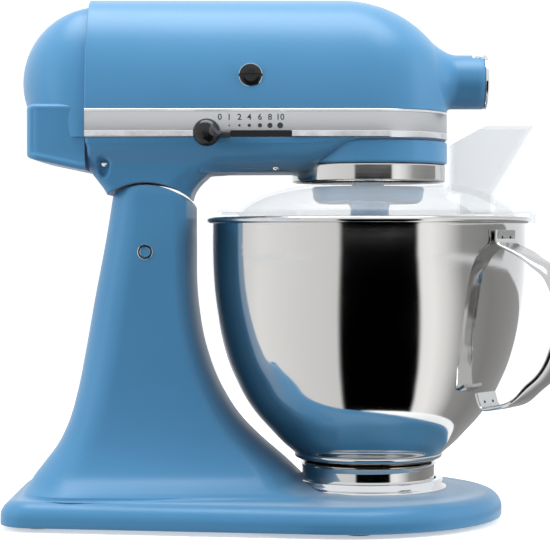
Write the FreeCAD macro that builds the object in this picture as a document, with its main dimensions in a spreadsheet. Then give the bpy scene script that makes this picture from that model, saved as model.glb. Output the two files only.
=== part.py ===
"""Tilt-head stand mixer with bowl, pouring shield and beater.

Millimetres. The origin is on the floor below the bowl's axis, +Z is up, +X points to the
attachment hub and -Y to the side with the speed lever.
"""
import FreeCAD
import Part
import math
import os

import Sketcher

V = FreeCAD.Vector
X_AXIS = V(1, 0, 0)
Y_AXIS = V(0, 1, 0)
Z_AXIS = V(0, 0, 1)
ALONG_X = FreeCAD.Rotation(Y_AXIS, 90)
ALONG_Y = FreeCAD.Rotation(X_AXIS, -90)
UPRIGHT = FreeCAD.Rotation()

doc = FreeCAD.newDocument("stand_mixer")
sheet = doc.addObject("Spreadsheet::Sheet", "dims")

DIMENSIONS = {
    # frame of the machine
    "hinge_x": -150.2, "hinge_z": 181.8, "motor_z": 297.9, "joint_x": -189.5,
    "split_radius": 45.0, "split_gap": 0.7, "foot_height": 3.0,
    # base and column
    "base_rear_x": -244.5, "base_front_x": 91.0, "base_front_radius": 107.0,
    "base_rear_half": 78.0, "base_edge_height": 19.5, "column_half": 45.0,
    "pad_radius": 11.0, "pad_height": 5.0,
    "plate_radius": 53.8, "plate_floor": 20.0, "plate_thick": 1.8,
    "ring_inner": 49.6, "ring_outer": 51.8, "ring_top": 27.6, "lip_inner": 46.4,
    "lip_thick": 1.6, "plate_screw_circle": 34.0,
    # head
    "head_half": 56.0, "band_low": 257.5, "band_high": 276.5,
    "shell_split": 267.0, "head_top": 353.5, "wall": 3.5, "band_thick": 1.6,
    "nose_x": 54.0, "hub_radius": 18.5, "hub_front": 79.0, "hub_bore": 11.6,
    "hub_bore_depth": 35.5, "hub_passage": 7.5, "hub_cover_thick": 3.4,
    "cap_centre_x": -184.5, "cap_centre_z": 296.9, "cap_radius": 51.8,
    "cap_box_x": -228.8, "cap_box_low": 243.3, "cap_box_high": 276.0,
    "nose_low": 241.3, "nose_low_radius": 54.0,
    "drip_radius": 52.7, "drip_low": 228.8, "drip_high": 241.0, "drip_thick": 1.2,
    # pins and controls
    "pin_radius": 5.1, "pin_half": 45.6, "pin_fit": 0.05,
    "knob_x": -108.6, "knob_z": 260.1, "knob_radius": 8.5, "lever_x": -95.9,
    "slot_rear": -98.0, "slot_front": -52.7, "slot_low": 257.5, "slot_high": 261.5,
    "brush_x": -80.0, "brush_z": 298.5, "brush_cap_radius": 7.8,
    # motor
    "stator_rear": -160.0, "stator_front": -100.0, "stator_outer": 42.0,
    "stator_bore": 23.0, "core_radius": 22.0, "core_rear": -158.0, "core_front": -102.0,
    "shaft_radius": 4.0, "shaft_rear": -187.0, "shaft_front": -12.0,
    "commutator_radius": 13.0, "commutator_rear": -93.0, "commutator_front": -68.0,
    "bearing_outer": 11.0, "bearing_wide": 7.0, "rear_bearing_x": -185.0,
    "front_bearing_x": -62.0,
    # gear train
    "module_spur": 1.5, "centre_teeth": 30, "pinion_teeth": 20, "wheel_teeth": 20,
    "worm_pitch_radius": 8.0, "wheel_face": 8.0, "wheel_x": -29.58, "wheel_y": 23.0,
    "bevel_teeth": 20, "bevel_radius": 17.5, "ring_teeth": 45, "planet_teeth": 15,
    "beater_offset": 22.5, "centre_shaft_radius": 6.0, "centre_shaft_top": 287.0,
    "centre_shaft_low": 216.0, "spur_low": 267.0, "spur_high": 278.0,
    "ring_gear_low": 243.5, "ring_gear_high": 253.0, "ring_gear_outer": 41.0,
    # planetary and beater
    "planet_radius": 39.0, "planet_low": 214.4, "planet_high": 226.0,
    "beater_shaft_radius": 6.0, "beater_shaft_low": 166.0, "beater_pin_z": 184.0,
    # bowl
    "bowl_rim_z": 203.0, "bowl_wall": 1.2, "rim_radius": 110.8, "bowl_foot_radius": 45.5,
    "bowl_foot_low": 23.4, "bowl_base": 38.0,
    # clear shield
    "shield_top": 228.0, "shield_mouth": 52.0, "shield_foot": 101.5, "shield_thick": 2.0,
    "shield_flange": 114.6, "shield_flange_z": 207.6,
}

for row, (alias, size) in enumerate(DIMENSIONS.items(), start=1):
    sheet.set(f"A{row}", alias)
    sheet.set(f"B{row}", str(size))
    sheet.setAlias(f"B{row}", alias)
doc.recompute()

NODES = {}


def dim(alias):
    """Size of a cell of the sheet."""
    return float(sheet.get(alias))


def value(text):
    """Number that an expression on the sheet gives."""
    return float(sheet.evalExpression(text))


def node(thing, label):
    """Name a finished sub-part."""
    thing.Label = label
    NODES[label] = thing
    return thing


def feature(label, shape, at=None):
    """Sub-part with a computed shape."""
    thing = doc.addObject("Part::Feature", label)
    own = shape.Placement
    thing.Shape = shape
    thing.Placement = FreeCAD.Placement(at or V(), UPRIGHT).multiply(own)
    return node(thing, label)


def bind(thing, **texts):
    """Bind properties to expressions on the sheet."""
    for name, text in texts.items():
        thing.setExpression(name, str(text))


def primitive(kind, name, turn, place, **sizes):
    """Part primitive whose sizes and place are expressions."""
    thing = doc.addObject(f"Part::{kind}", name)
    thing.Placement = FreeCAD.Placement(V(), turn)
    bind(thing, **sizes)
    for axis, text in zip("xyz", place):
        thing.setExpression(f"Placement.Base.{axis}", str(text))
    return thing


def rod(name, turn, place, radius, length):
    """Cylinder that starts at place and runs along the turned Z axis."""
    return primitive("Cylinder", name, turn, place, Radius=radius, Height=length)


def cut(name, base, tool):
    """Boolean difference."""
    thing = doc.addObject("Part::Cut", name)
    thing.Base = base
    thing.Tool = tool
    return thing


def fuse(name, *pieces):
    """Boolean union."""
    thing = doc.addObject("Part::MultiFuse", name)
    thing.Shapes = list(pieces)
    return thing


def group(name, *pieces):
    """Separate solids that share a node."""
    thing = doc.addObject("Part::Compound", name)
    thing.Links = list(pieces)
    return thing


def tube(label, turn, place, outer, inner, length):
    """Plain ring: a cylinder with a bore."""
    blank = rod(f"{label}_blank", turn, place, outer, length)
    bore = rod(f"{label}_bore", turn, place, inner, length)
    return cut(f"{label}_ring", blank, bore)


def outline_sketch(body, name, role, points):
    """Closed sketch whose corners are held by expressions on the sheet."""
    sketch = body.newObject("Sketcher::SketchObject", name)
    plane = next(f for f in body.Origin.OriginFeatures if f.Role == role)
    sketch.AttachmentSupport = [(plane, "")]
    sketch.MapMode = "FlatFace"
    corners = [V(value(a), value(b), 0) for a, b in points]
    count = len(corners)
    for i in range(count):
        sketch.addGeometry(Part.LineSegment(corners[i], corners[(i + 1) % count]), False)
    for i in range(count):
        sketch.addConstraint(Sketcher.Constraint("Coincident", i, 2, (i + 1) % count, 1))
    for i, pair in enumerate(points):
        for k, kind in enumerate(("DistanceX", "DistanceY")):
            if pair[k] == "0":
                sketch.addConstraint(Sketcher.Constraint("PointOnObject", i, 1, -2 + k))
                continue
            held = Sketcher.Constraint(kind, -1, 1, i, 1, corners[i][k])
            number = sketch.addConstraint(held)
            sketch.setExpression(f"Constraints[{number}]", pair[k])
    return sketch


def turned(label, points, turn=UPRIGHT, place=("0", "0", "0")):
    """Body made on a lathe: a revolved outline of (radius, height) corners."""
    body = doc.addObject("PartDesign::Body", label)
    sketch = outline_sketch(body, f"{label}_section", "XZ_Plane", points)
    spin = body.newObject("PartDesign::Revolution", f"{label}_turning")
    spin.Profile = sketch
    spin.ReferenceAxis = (sketch, ["V_Axis"])
    spin.Angle = 360
    body.Placement = FreeCAD.Placement(V(), turn)
    for axis, text in zip("xyz", place):
        body.setExpression(f"Placement.Base.{axis}", text)
    return body


# ---------------------------------------------------------------- shapes of cast and spun pieces

def box(x0, x1, y0, y1, z0, z1):
    """Box between two corners."""
    return Part.makeBox(x1 - x0, y1 - y0, z1 - z0, V(x0, y0, z0))


def rounded_section(x0, x1, half, corner, z):
    """Rounded rectangle in a level plane."""
    r = corner
    places = [(x1 - r, half - r, 0), (x0 + r, half - r, 90), (x0 + r, r - half, 180),
              (x1 - r, r - half, 270)]
    edges = []
    ends = []
    for cx, cy, start in places:
        a = math.radians(start)
        b = math.radians(start + 90)
        m = math.radians(start + 45)
        first = V(cx + r * math.cos(a), cy + r * math.sin(a), z)
        middle = V(cx + r * math.cos(m), cy + r * math.sin(m), z)
        last = V(cx + r * math.cos(b), cy + r * math.sin(b), z)
        ends.append((first, middle, last))
    for i, (first, middle, last) in enumerate(ends):
        edges.append(Part.Arc(first, middle, last).toShape())
        edges.append(Part.makeLine(last, ends[(i + 1) % 4][0]))
    return Part.Wire(edges)


def bullet_section(rear, nose, half, z):
    """Level outline with straight sides, a flat rear and an elliptic nose."""
    reach = min(half, (nose - rear) * 0.9)
    x0 = nose - reach
    side_a = V(rear, -half, z)
    side_b = V(x0, -half, z)
    side_c = V(x0, half, z)
    side_d = V(rear, half, z)
    points = [V(x0 + reach * math.sin(t), -half * math.cos(t), z)
              for t in [math.pi * i / 12 for i in range(13)]]
    curve = Part.BSplineCurve()
    curve.interpolate(points, InitialTangent=V(1, 0, 0), FinalTangent=V(-1, 0, 0))
    edges = [Part.makeLine(side_a, side_b), curve.toShape(), Part.makeLine(side_c, side_d),
             Part.makeLine(side_d, side_a)]
    return Part.Wire(edges)


def arch_half(z, half, low, high):
    """Half width of the arch-shaped head at one height."""
    rise = (z - low) / (high - low)
    return half * (1 - max(rise, 0) ** 2.6) ** 0.4545


def nose_reach(z, nose, top):
    """How far forward the head's nose is at one height."""
    radius = 81.0
    centre_x = -18.0
    up = max(z - (top - radius), 0)
    return min(nose, centre_x + math.sqrt(max(radius ** 2 - up ** 2, 1)))


def housing_shape():
    """Upper casting of the head with its hub, open below and at the rear."""
    low, top = dim("shell_split"), dim("head_top")
    half, rear, wall = dim("head_half"), dim("joint_x"), dim("wall")
    levels = [dim("band_high"), 292, 308, 322, 333, 342, 348, 351.5, top - 0.4]

    def shell(inset, first, rear_x):
        wires = []
        for z in [first] + levels[1:]:
            lift = (z - first) / (levels[-1] - first)
            height = z - inset * lift
            wires.append(bullet_section(
                rear_x, nose_reach(z, dim("nose_x"), top) - inset,
                max(arch_half(z, half, low, top) - inset, 2.5), height))
        return Part.makeLoft(wires, True)

    outer = shell(0.0, dim("band_high"), rear)
    inset = dim("band_thick")
    skirt = Part.Face(bullet_section(rear, dim("nose_x") - inset, half - inset, low))
    outer = outer.fuse(skirt.extrude(V(0, 0, dim("band_high") - low)))
    hub = Part.makeCylinder(dim("hub_radius"), dim("hub_front") - 30, V(30, 0, dim("motor_z")), X_AXIS)
    inner = shell(wall, dim("band_high"), rear - 5)
    lower = Part.Face(bullet_section(rear - 5, dim("nose_x") - wall, half - wall, low - 5))
    inner = inner.fuse(lower.extrude(V(0, 0, dim("band_high") - low + 5.01)))
    body = outer.cut(inner).fuse(hub.cut(Part.makeBox(20, 60, 60, V(10, -30, 260))))
    shoulder = dim("hub_front") - dim("hub_bore_depth")
    bore = Part.makeCylinder(dim("hub_bore"), 50, V(shoulder, 0, dim("motor_z")), X_AXIS)
    passage = Part.makeCylinder(dim("hub_passage"), 40, V(20, 0, dim("motor_z")), X_AXIS)
    body = body.cut(bore).cut(passage)
    for side in (-1, 1):
        hole = Part.makeCylinder(dim("brush_cap_radius") + 0.3, 30,
                                 V(dim("brush_x"), side * 35, dim("brush_z")), V(0, side, 0))
        body = body.cut(hole)
    notch = box(dim("hub_front") - 8.0, dim("hub_front") + 1, -9.4, 9.4, 309.4, 320)
    knob_hole = Part.makeCylinder(3.3, 30, V(64, 5, dim("motor_z")), Y_AXIS)
    return body.cut(notch).cut(knob_hole).removeSplitter()


def rear_cover_shape():
    """Domed cap that closes the rear of the head, with the square foot for the inlet."""
    joint = dim("joint_x") - 0.3
    half, low = dim("head_half") - 3.0, dim("shell_split")
    top = dim("cap_centre_z") + dim("cap_radius")
    radius, cz, cx = dim("cap_radius"), dim("cap_centre_z"), dim("cap_centre_x")

    def dome(inset, front):
        wires = []
        for z in (262, 276, 292, 308, 322, 333, 341, top - 1.2):
            reach = math.sqrt(max(radius ** 2 - (z - cz) ** 2, 4))
            tip = cx - reach + inset
            wide = max(arch_half(z, half, low - 25, top + 0.4) - inset, 3)
            height = z - inset * (z - 262) / (top - 262)
            wire = bullet_section(-front, -tip, wide, height)
            wires.append(wire.mirror(V(), X_AXIS))
        return Part.makeLoft(wires, True)

    foot = Part.makeLoft([
        rounded_section(dim("cap_box_x") + 10, joint, half - 11, 12, 236.5),
        rounded_section(dim("cap_box_x") + 1.5, joint, half - 3, 12, dim("cap_box_low") + 3),
        rounded_section(dim("cap_box_x"), joint, half - 1, 12, 256),
        rounded_section(dim("cap_box_x"), joint, half - 1, 12, dim("cap_box_high"))], True)
    front = box(joint - 13, joint, -half + 1, half - 1, 246, 262)
    outer = dome(0, joint).fuse(foot)
    hollow = dome(dim("wall"), joint + 1)
    room = box(dim("cap_box_x") + 4, joint + 1, -half + 14, half - 14, 247, 280)
    screw = Part.makeCylinder(2.05, 14, V(dim("cap_box_x") - 1, 0, 262), X_AXIS)
    seat = Part.makeCylinder(4.4, 6, V(dim("cap_box_x") - 6, 0, 262), X_AXIS)
    return outer.cut(hollow).cut(room).cut(screw).cut(seat).removeSplitter()


def gearcase_shape():
    """Lower casting of the head: tray, nose cylinder, neck and hinge lug."""
    rear, nose, half = dim("joint_x"), dim("nose_x"), dim("head_half")
    inset = dim("band_thick")
    hx, hz = dim("hinge_x"), dim("hinge_z")
    tray = Part.Face(bullet_section(rear, nose - inset, half - inset, dim("band_low")))
    tray = tray.extrude(V(0, 0, dim("shell_split") - dim("band_low")))
    levels = [(dim("band_low"), 0.4), (253.6, 0.8), (249, 2.4), (244, 6.5), (239.5, 13.5), (236.5, 24)]
    wires = [bullet_section(rear, nose - 0.2 * s - (0 if s < 3 else 0.4 * s), half - s, z) for z, s in levels]
    belly = Part.makeLoft(wires[::-1], True)
    keep = box(rear, -49, -60, 60, 230, 260).fuse(
        Part.makeCylinder(dim("nose_low_radius"), 30, V(0, 0, dim("nose_low"))))
    belly = belly.common(keep).fuse(
        Part.makeCylinder(dim("nose_low_radius") - 1.5, dim("band_low") - dim("nose_low") + 0.1,
                          V(0, 0, dim("nose_low"))))
    neck = Part.makeLoft([
        rounded_section(-181.0, -117.5, dim("column_half"), 14, 205),
        rounded_section(-181.5, -117.0, dim("column_half"), 14, 222),
        rounded_section(-187.0, -108.0, dim("column_half") + 1, 14, 235),
        rounded_section(-189.4, -92.0, dim("column_half") + 4, 14, 245)], True)
    body = tray.fuse(belly).fuse(neck)
    clear = dim("split_radius") + dim("split_gap")
    body = body.cut(Part.makeCylinder(clear, 140, V(hx, -70, hz), Y_AXIS))
    body = body.cut(box(-200, -90, -70, 70, 150, hz))
    inside = Part.Face(bullet_section(rear + 12, nose - 5, half - 5.5, 255)).extrude(V(0, 0, 20))
    pit = Part.makeLoft([bullet_section(rear + 14, nose - 14, half - 20, 245),
                         bullet_section(rear + 12, nose - 6, half - 7, 255)], True)
    body = body.cut(inside).cut(pit)
    # the lug leans forward so that it stays inside the column through the whole tilt
    lean = math.radians(15)
    along = V(math.sin(lean), 0, math.cos(lean))
    across = V(math.cos(lean), 0, -math.sin(lean))
    pin = V(hx, -29, hz)
    corners = [pin - across * 9.5, pin + across * 9.5, pin + across * 9.5 + along * 60,
               pin - across * 9.5 + along * 60]
    lug = Part.Face(Part.makePolygon(corners + corners[:1])).extrude(V(0, 58, 0))
    lug = lug.fuse(Part.makeCylinder(13, 58, pin, Y_AXIS))
    body = body.fuse(lug)
    body = body.cut(Part.makeCylinder(dim("pin_radius") + dim("pin_fit"), 80, V(hx, -40, hz), Y_AXIS))
    # recess for the drip ring, then the bore for the ring gear and the centre shaft
    body = body.cut(Part.makeCylinder(dim("drip_radius") + 0.5, 15, V(0, 0, dim("nose_low") - 15)))
    body = body.cut(Part.makeCylinder(dim("ring_gear_outer") + 0.02, 12, V(0, 0, 241)))
    body = body.cut(Part.makeCylinder(14, 30, V(0, 0, 240)))
    body = body.cut(Part.makeCylinder(36, 30, V(0, 0, 240)))
    slot = box(dim("slot_rear") - 1, dim("slot_front") + 1, -60, -45, dim("slot_low") - 0.5,
               dim("slot_high") + 0.5)
    lock = box(-150, -122, 40, 60, 246.8, 250.8)
    return body.cut(slot).cut(lock).removeSplitter()


def band_shape():
    """Trim strip that wraps the joint of the two head castings."""
    rear, nose, half = dim("joint_x"), dim("nose_x"), dim("head_half")
    low, high = dim("band_low") + 0.1, dim("band_high") - 0.1
    thick = dim("band_thick") - 0.05
    outer = Part.Face(bullet_section(rear, nose, half, low)).extrude(V(0, 0, high - low))
    inner_face = Part.Face(bullet_section(rear - 5, nose - thick, half - thick, low - 1))
    inner = inner_face.extrude(V(0, 0, high - low + 2))
    slot = box(dim("slot_rear"), dim("slot_front"), -60, -45, dim("slot_low"), dim("slot_high"))
    return outer.cut(inner).cut(slot)


def pedestal_shape():
    """Base casting with its column, hollow under the base and inside the column."""
    z0 = dim("foot_height")
    x0, x1 = dim("base_rear_x"), dim("base_front_x")
    radius = dim("base_front_radius")
    edge = dim("base_edge_height")

    def sole(inset, z):
        cx = x1 - radius
        rear = x0 + inset
        half = dim("base_rear_half") - inset
        r = radius - inset
        corner = 22 - inset
        # side line from the rear corner, tangent to the front circle
        bx, by = rear + corner, half - corner
        reach = math.hypot(cx - bx, by)
        tilt = math.atan2(-by, cx - bx)
        swing = math.acos((corner - r) / reach)
        a = tilt + swing
        up = V(math.cos(a), math.sin(a), 0)
        p_rear = V(bx, by, z) + up * corner
        p_front = V(cx, 0, z) + up * r
        mid_corner = V(bx, by, z) + V(math.cos((a + math.pi) / 2), math.sin((a + math.pi) / 2), 0) * corner
        low = V(rear, by, z)

        def other(p):
            return V(p.x, -p.y, p.z)

        return Part.Wire([
            Part.makeLine(p_rear, p_front),
            Part.Arc(p_front, V(cx + r, 0, z), other(p_front)).toShape(),
            Part.makeLine(other(p_front), other(p_rear)),
            Part.Arc(other(p_rear), other(mid_corner), other(low)).toShape(),
            Part.makeLine(other(low), low),
            Part.Arc(low, mid_corner, p_rear).toShape()])

    slab = Part.Face(sole(0, z0)).extrude(V(0, 0, edge - z0))
    rim = [e for e in slab.Edges if e.BoundBox.ZMin > edge - 0.1]
    slab = slab.makeFillet(11.0, rim)
    levels = [(12, -238, 5, 90, 40), (20.5, -233, -20, 76, 40), (26, -229, -40, 67, 36),
              (32, -225.5, -47, 60.5, 32), (40, -219.5, -54, 55.5, 30), (52, -210.5, -70, 51, 28),
              (66, -203.5, -84.5, 48.5, 26), (88, -197.0, -99.5, 46.5, 25),
              (116, -191.5, -110.5, 45.5, 25), (150, -185.5, -116.5, dim("column_half"), 24),
              (190, -177.8, -117.5, dim("column_half"), 22), (232, -171.0, -117.5, dim("column_half"), 20)]
    column = Part.makeLoft([rounded_section(a, b, w, c, z) for z, a, b, w, c in levels], True)
    hx, hz = dim("hinge_x"), dim("hinge_z")
    split = dim("split_radius")
    crown = Part.makeCylinder(split, 140, V(hx, -70, hz), Y_AXIS)
    above = box(-260, 0, -100, 100, hz, 260)
    column = column.cut(above.cut(crown))
    column = column.common(Part.Face(sole(1.0, 0)).extrude(V(0, 0, 300)))
    body = slab.fuse(column)
    # seat of the bowl clamp plate
    body = body.fuse(Part.makeCone(66, 58, 4.0, V(0, 0, edge - 1.5)))
    seat = dim("plate_radius") + 0.3
    body = body.cut(Part.makeCylinder(seat, 30, V(0, 0, dim("plate_floor"))))
    # hollow underside and hollow column
    body = body.cut(Part.Face(sole(9, 0)).extrude(V(0, 0, z0 + 11)))
    cavity = Part.makeLoft([rounded_section(-226, -64, 52, 22, z0), rounded_section(-215, -72, 44, 20, 40),
                            rounded_section(-197, -96, 37, 18, 75), rounded_section(-185, -110, 37, 16, 120),
                            rounded_section(-178, -119 + 3, 37, 14, 150)], True)
    cavity = cavity.common(box(-250, 20, -60, 60, 0, 150))
    body = body.cut(cavity)
    lean = math.radians(15)
    turn = math.radians(35)

    def ray(angle, offset, length):
        along = V(math.sin(angle), 0, math.cos(angle))
        across = V(math.cos(angle), 0, -math.sin(angle))
        return V(hx, -30, hz) + across * offset + along * length

    fan = [ray(lean, 11, 0), ray(lean, 11, 52), ray(lean - turn, -11, 52), ray(lean - turn, -11, 0)]
    room = Part.Face(Part.makePolygon(fan + fan[:1])).extrude(V(0, 60, 0))
    room = room.fuse(Part.makeCylinder(15, 60, V(hx, -30, hz), Y_AXIS))
    room = room.fuse(box(hx - 15, hx + 15, -30, 30, 140, hz))
    body = body.cut(room)
    body = body.cut(Part.makeCylinder(dim("pin_radius"), 120, V(hx, -60, hz), Y_AXIS))
    for x, y in foot_places():
        post = Part.makeCylinder(dim("pad_radius") + 2.5, 12, V(x, y, z0))
        body = body.fuse(post).cut(Part.makeCylinder(dim("pad_radius"), dim("pad_height"), V(x, y, 0)))
    for x, y in screw_places():
        body = body.cut(Part.makeCylinder(2.0, 30, V(x, y, 5)))
    return body.removeSplitter()


def foot_places():
    """Centres of the six rubber pads; the first is below the bowl's axis."""
    return [(0, 0), (-219, 50), (-219, -50), (-10, 80), (-10, -80), (66, 0)]


def screw_places():
    """Centres of the clamp plate's screws."""
    r = dim("plate_screw_circle")
    return [(r * math.cos(a), r * math.sin(a)) for a in (math.radians(45 + 90 * i) for i in range(4))]


BOWL_CURVE = [(50.6, 44.6), (67.3, 60.6), (77.0, 71.5), (84.5, 82.5), (90.0, 93.5), (94.8, 104.5),
              (102.4, 132), (105.8, 154), (107.2, 180)]


def bowl_shape():
    """Spun bowl with a rolled rim."""
    profile = BOWL_CURVE
    wall = dim("bowl_wall")
    outside = Part.BSplineCurve()
    outside.interpolate([V(r, 0, z) for r, z in profile], InitialTangent=V(1, 0, 0.7),
                        FinalTangent=V(0, 0, 1))
    inner = []
    count = len(profile)
    for i, (r, z) in enumerate(profile):
        a = profile[max(i - 1, 0)]
        b = profile[min(i + 1, count - 1)]
        run = math.hypot(b[0] - a[0], b[1] - a[1])
        inner.append(V(max(r - wall * (b[1] - a[1]) / run, 0), 0, z + wall * (b[0] - a[0]) / run))
    inner[-1] = V(profile[-1][0] - wall, 0, profile[-1][1])
    inner[0] = V(profile[0][0] - 0.5, 0, profile[0][1] + wall)
    inside = Part.BSplineCurve()
    inside.interpolate(inner, InitialTangent=V(1, 0, 0.7), FinalTangent=V(0, 0, 1))
    base, rim = dim("bowl_base"), dim("bowl_rim_z")
    corners = [V(*outside.EndPoint), V(profile[-1][0], 0, rim), V(profile[-1][0] - wall, 0, rim),
               V(*inside.EndPoint)]
    floor = [V(*inside.StartPoint), V(40, 0, base + wall), V(0, 0, base + wall), V(0, 0, base),
             V(42, 0, base),
             V(*outside.StartPoint)]
    edges = [outside.toShape(), inside.toShape()]
    edges += [Part.makeLine(a, b) for a, b in zip(corners, corners[1:])]
    edges += [Part.makeLine(a, b) for a, b in zip(floor, floor[1:])]
    section = Part.Wire(Part.__sortEdges__(edges))
    body = Part.Face(section).revolve(V(), Z_AXIS, 360)
    small = 2.2
    curl = Part.makeTorus(dim("rim_radius") - small, small, V(0, 0, dim("bowl_rim_z")))
    body = body.fuse(curl)
    bead = Part.makeTorus(48.2, 2.4, V(0, 0, 43.4))
    return body.fuse(bead.cut(body.common(bead))).removeSplitter()


def strap_path(points):
    """Centre line of a bent strip: straight runs joined by arcs."""
    edges = []
    last = V(*points[0])
    for i in range(1, len(points) - 1):
        a, p, b = V(*points[i - 1]), V(*points[i]), V(*points[i + 1])
        u = (a - p).normalize()
        w = (b - p).normalize()
        half = (math.pi - math.acos(max(-1, min(1, u.dot(w))))) / 2
        reach = 0.42 * min((a - p).Length, (b - p).Length)
        radius = reach / math.tan(half)
        start, end = p + u * reach, p + w * reach
        middle = (u + w).normalize()
        top = p + middle * (radius / math.cos(half) - radius)
        edges.append(Part.makeLine(last, start))
        edges.append(Part.Arc(start, top, end).toShape())
        last = end
    edges.append(Part.makeLine(last, V(*points[-1])))
    return Part.Wire(edges)


def handle_shape():
    """Bent steel strap: two plates on the bowl, two arms and an upright grip."""
    path = strap_path([(109.6, 0, 196.5), (109.0, 0, 187.5), (120, 0, 183), (147, 0, 171), (156.3, 0, 152),
                  (156.3, 0, 128), (146, 0, 103), (121, 0, 84), (97.6, 0, 78.5), (93.8, 0, 90)])
    wide, thick = 24.0, 2.4
    start = V(109.6, 0, 196.5)
    section = Part.makePolygon([start + V(-thick / 2, -wide / 2, 0), start + V(thick / 2, -wide / 2, 0),
                                start + V(thick / 2, wide / 2, 0), start + V(-thick / 2, wide / 2, 0),
                                start + V(-thick / 2, -wide / 2, 0)])
    pipe = Part.BRepOffsetAPI.MakePipeShell(path)
    pipe.setBiNormalMode(Y_AXIS)
    pipe.setTransitionMode(1)
    pipe.add(section)
    pipe.build()
    pipe.makeSolid()
    body = pipe.shape()
    keep = Part.makeCylinder(200, 300, V(0, 0, 0)).cut(bowl_blank())
    body = body.common(keep)
    body.rotate(V(), Z_AXIS, HANDLE_ANGLE)
    return body


def bowl_blank():
    """Solid with the outer form of the bowl and a hair more, to trim what touches it."""
    low, high = BOWL_CURVE[0][1], 220
    curve = Part.BSplineCurve()
    curve.interpolate([V(r + 0.02, 0, z) for r, z in BOWL_CURVE], InitialTangent=V(1, 0, 0.7),
                      FinalTangent=V(0, 0, 1))
    side = V(BOWL_CURVE[-1][0] + 0.02, 0, high)
    wire = Part.Wire([Part.makeLine(V(0, 0, low), V(*curve.StartPoint)), curve.toShape(),
                      Part.makeLine(V(*curve.EndPoint), side), Part.makeLine(side, V(0, 0, high)),
                      Part.makeLine(V(0, 0, high), V(0, 0, low))])
    return Part.Face(wire).revolve(V(), Z_AXIS, 360)


HANDLE_ANGLE = -38.0


def gear_wire(teeth, module, z, phase, tip=0.8, root=1.15, fill=0.42, twist=0.0, scale=1.0):
    """Level outline of a straight-flanked gear with a tooth centred at the phase angle."""
    pitch = teeth * module / 2
    rt, rr = pitch + tip * module, pitch - root * module
    half = math.pi * module * fill / 2
    slope = math.tan(math.radians(20))
    tip_half = (half - tip * module * slope) / rt
    root_half = (half + root * module * slope) / rr
    points = []
    for i in range(teeth):
        a = phase + twist + 2 * math.pi * i / teeth
        for r, offset in ((rr, -root_half), (rt, -tip_half), (rt, tip_half), (rr, root_half)):
            points.append(V(scale * r * math.cos(a + offset), scale * r * math.sin(a + offset), z))
    return Part.makePolygon(points + points[:1])


def spur(teeth, low, high, phase, bore, at):
    """Spur gear on a vertical axis."""
    blank = Part.Face(gear_wire(teeth, dim("module_spur"), low, phase)).extrude(V(0, 0, high - low))
    blank = blank.cut(Part.makeCylinder(bore, high - low, V(0, 0, low)))
    blank.translate(at)
    return blank


def bevel(teeth, radius, bore, phase, long_hub):
    """Mitre gear with its apex at the origin and its teeth below it."""
    module = 2 * radius / teeth
    wide = gear_wire(teeth, module, -radius, phase, tip=0.65, root=1.1, fill=0.40)
    inner = 0.62
    small = gear_wire(teeth, module, -radius * inner, phase, tip=0.65, root=1.1, fill=0.40, scale=inner)
    crown = Part.makeLoft([wide, small], True, True)
    back = Part.makeCone(radius - 5.5, radius - 2.2, 3.0, V(0, 0, -radius - 3.0))
    hub = Part.makeCylinder(bore + 3, long_hub, V(0, 0, -radius - long_hub))
    body = crown.fuse(back).fuse(hub)
    return body.cut(Part.makeCylinder(bore, 80, V(0, 0, -70)))


def ring_gear_shape():
    """Internal gear pressed into the gearcase."""
    low, high = dim("ring_gear_low"), dim("ring_gear_high")
    blank = Part.makeCylinder(dim("ring_gear_outer"), high - low, V(0, 0, low))
    teeth = int(dim("ring_teeth"))
    space = Part.Face(gear_wire(teeth, dim("module_spur"), low - 1, -math.pi / 2, tip=1.15, root=0.8,
                                fill=0.58))
    return blank.cut(space.extrude(V(0, 0, high - low + 2)))


def wheel_shape():
    """Worm wheel, its shaft and the pinion below it, turned as one."""
    teeth = int(dim("wheel_teeth"))
    module = dim("module_spur")
    face = dim("wheel_face")
    mid = dim("motor_z")
    pitch = teeth * module / 2
    slope = math.pi * module / (2 * math.pi * dim("worm_pitch_radius"))
    twist = slope / pitch
    # a space faces the worm, which lies at -Y
    phase = -math.pi / 2 + math.pi / teeth
    wires = [gear_wire(teeth, module, mid + d, phase, tip=0.75, root=1.15, fill=0.38, twist=twist * d)
             for d in (-face / 2, face / 2)]
    wheel = Part.makeLoft(wires, True, True)
    wheel = wheel.cut(Part.makeCylinder(5.0, 40, V(0, 0, mid - 20)))
    wheel.translate(V(dim("wheel_x"), dim("wheel_y"), 0))
    return wheel


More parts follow.
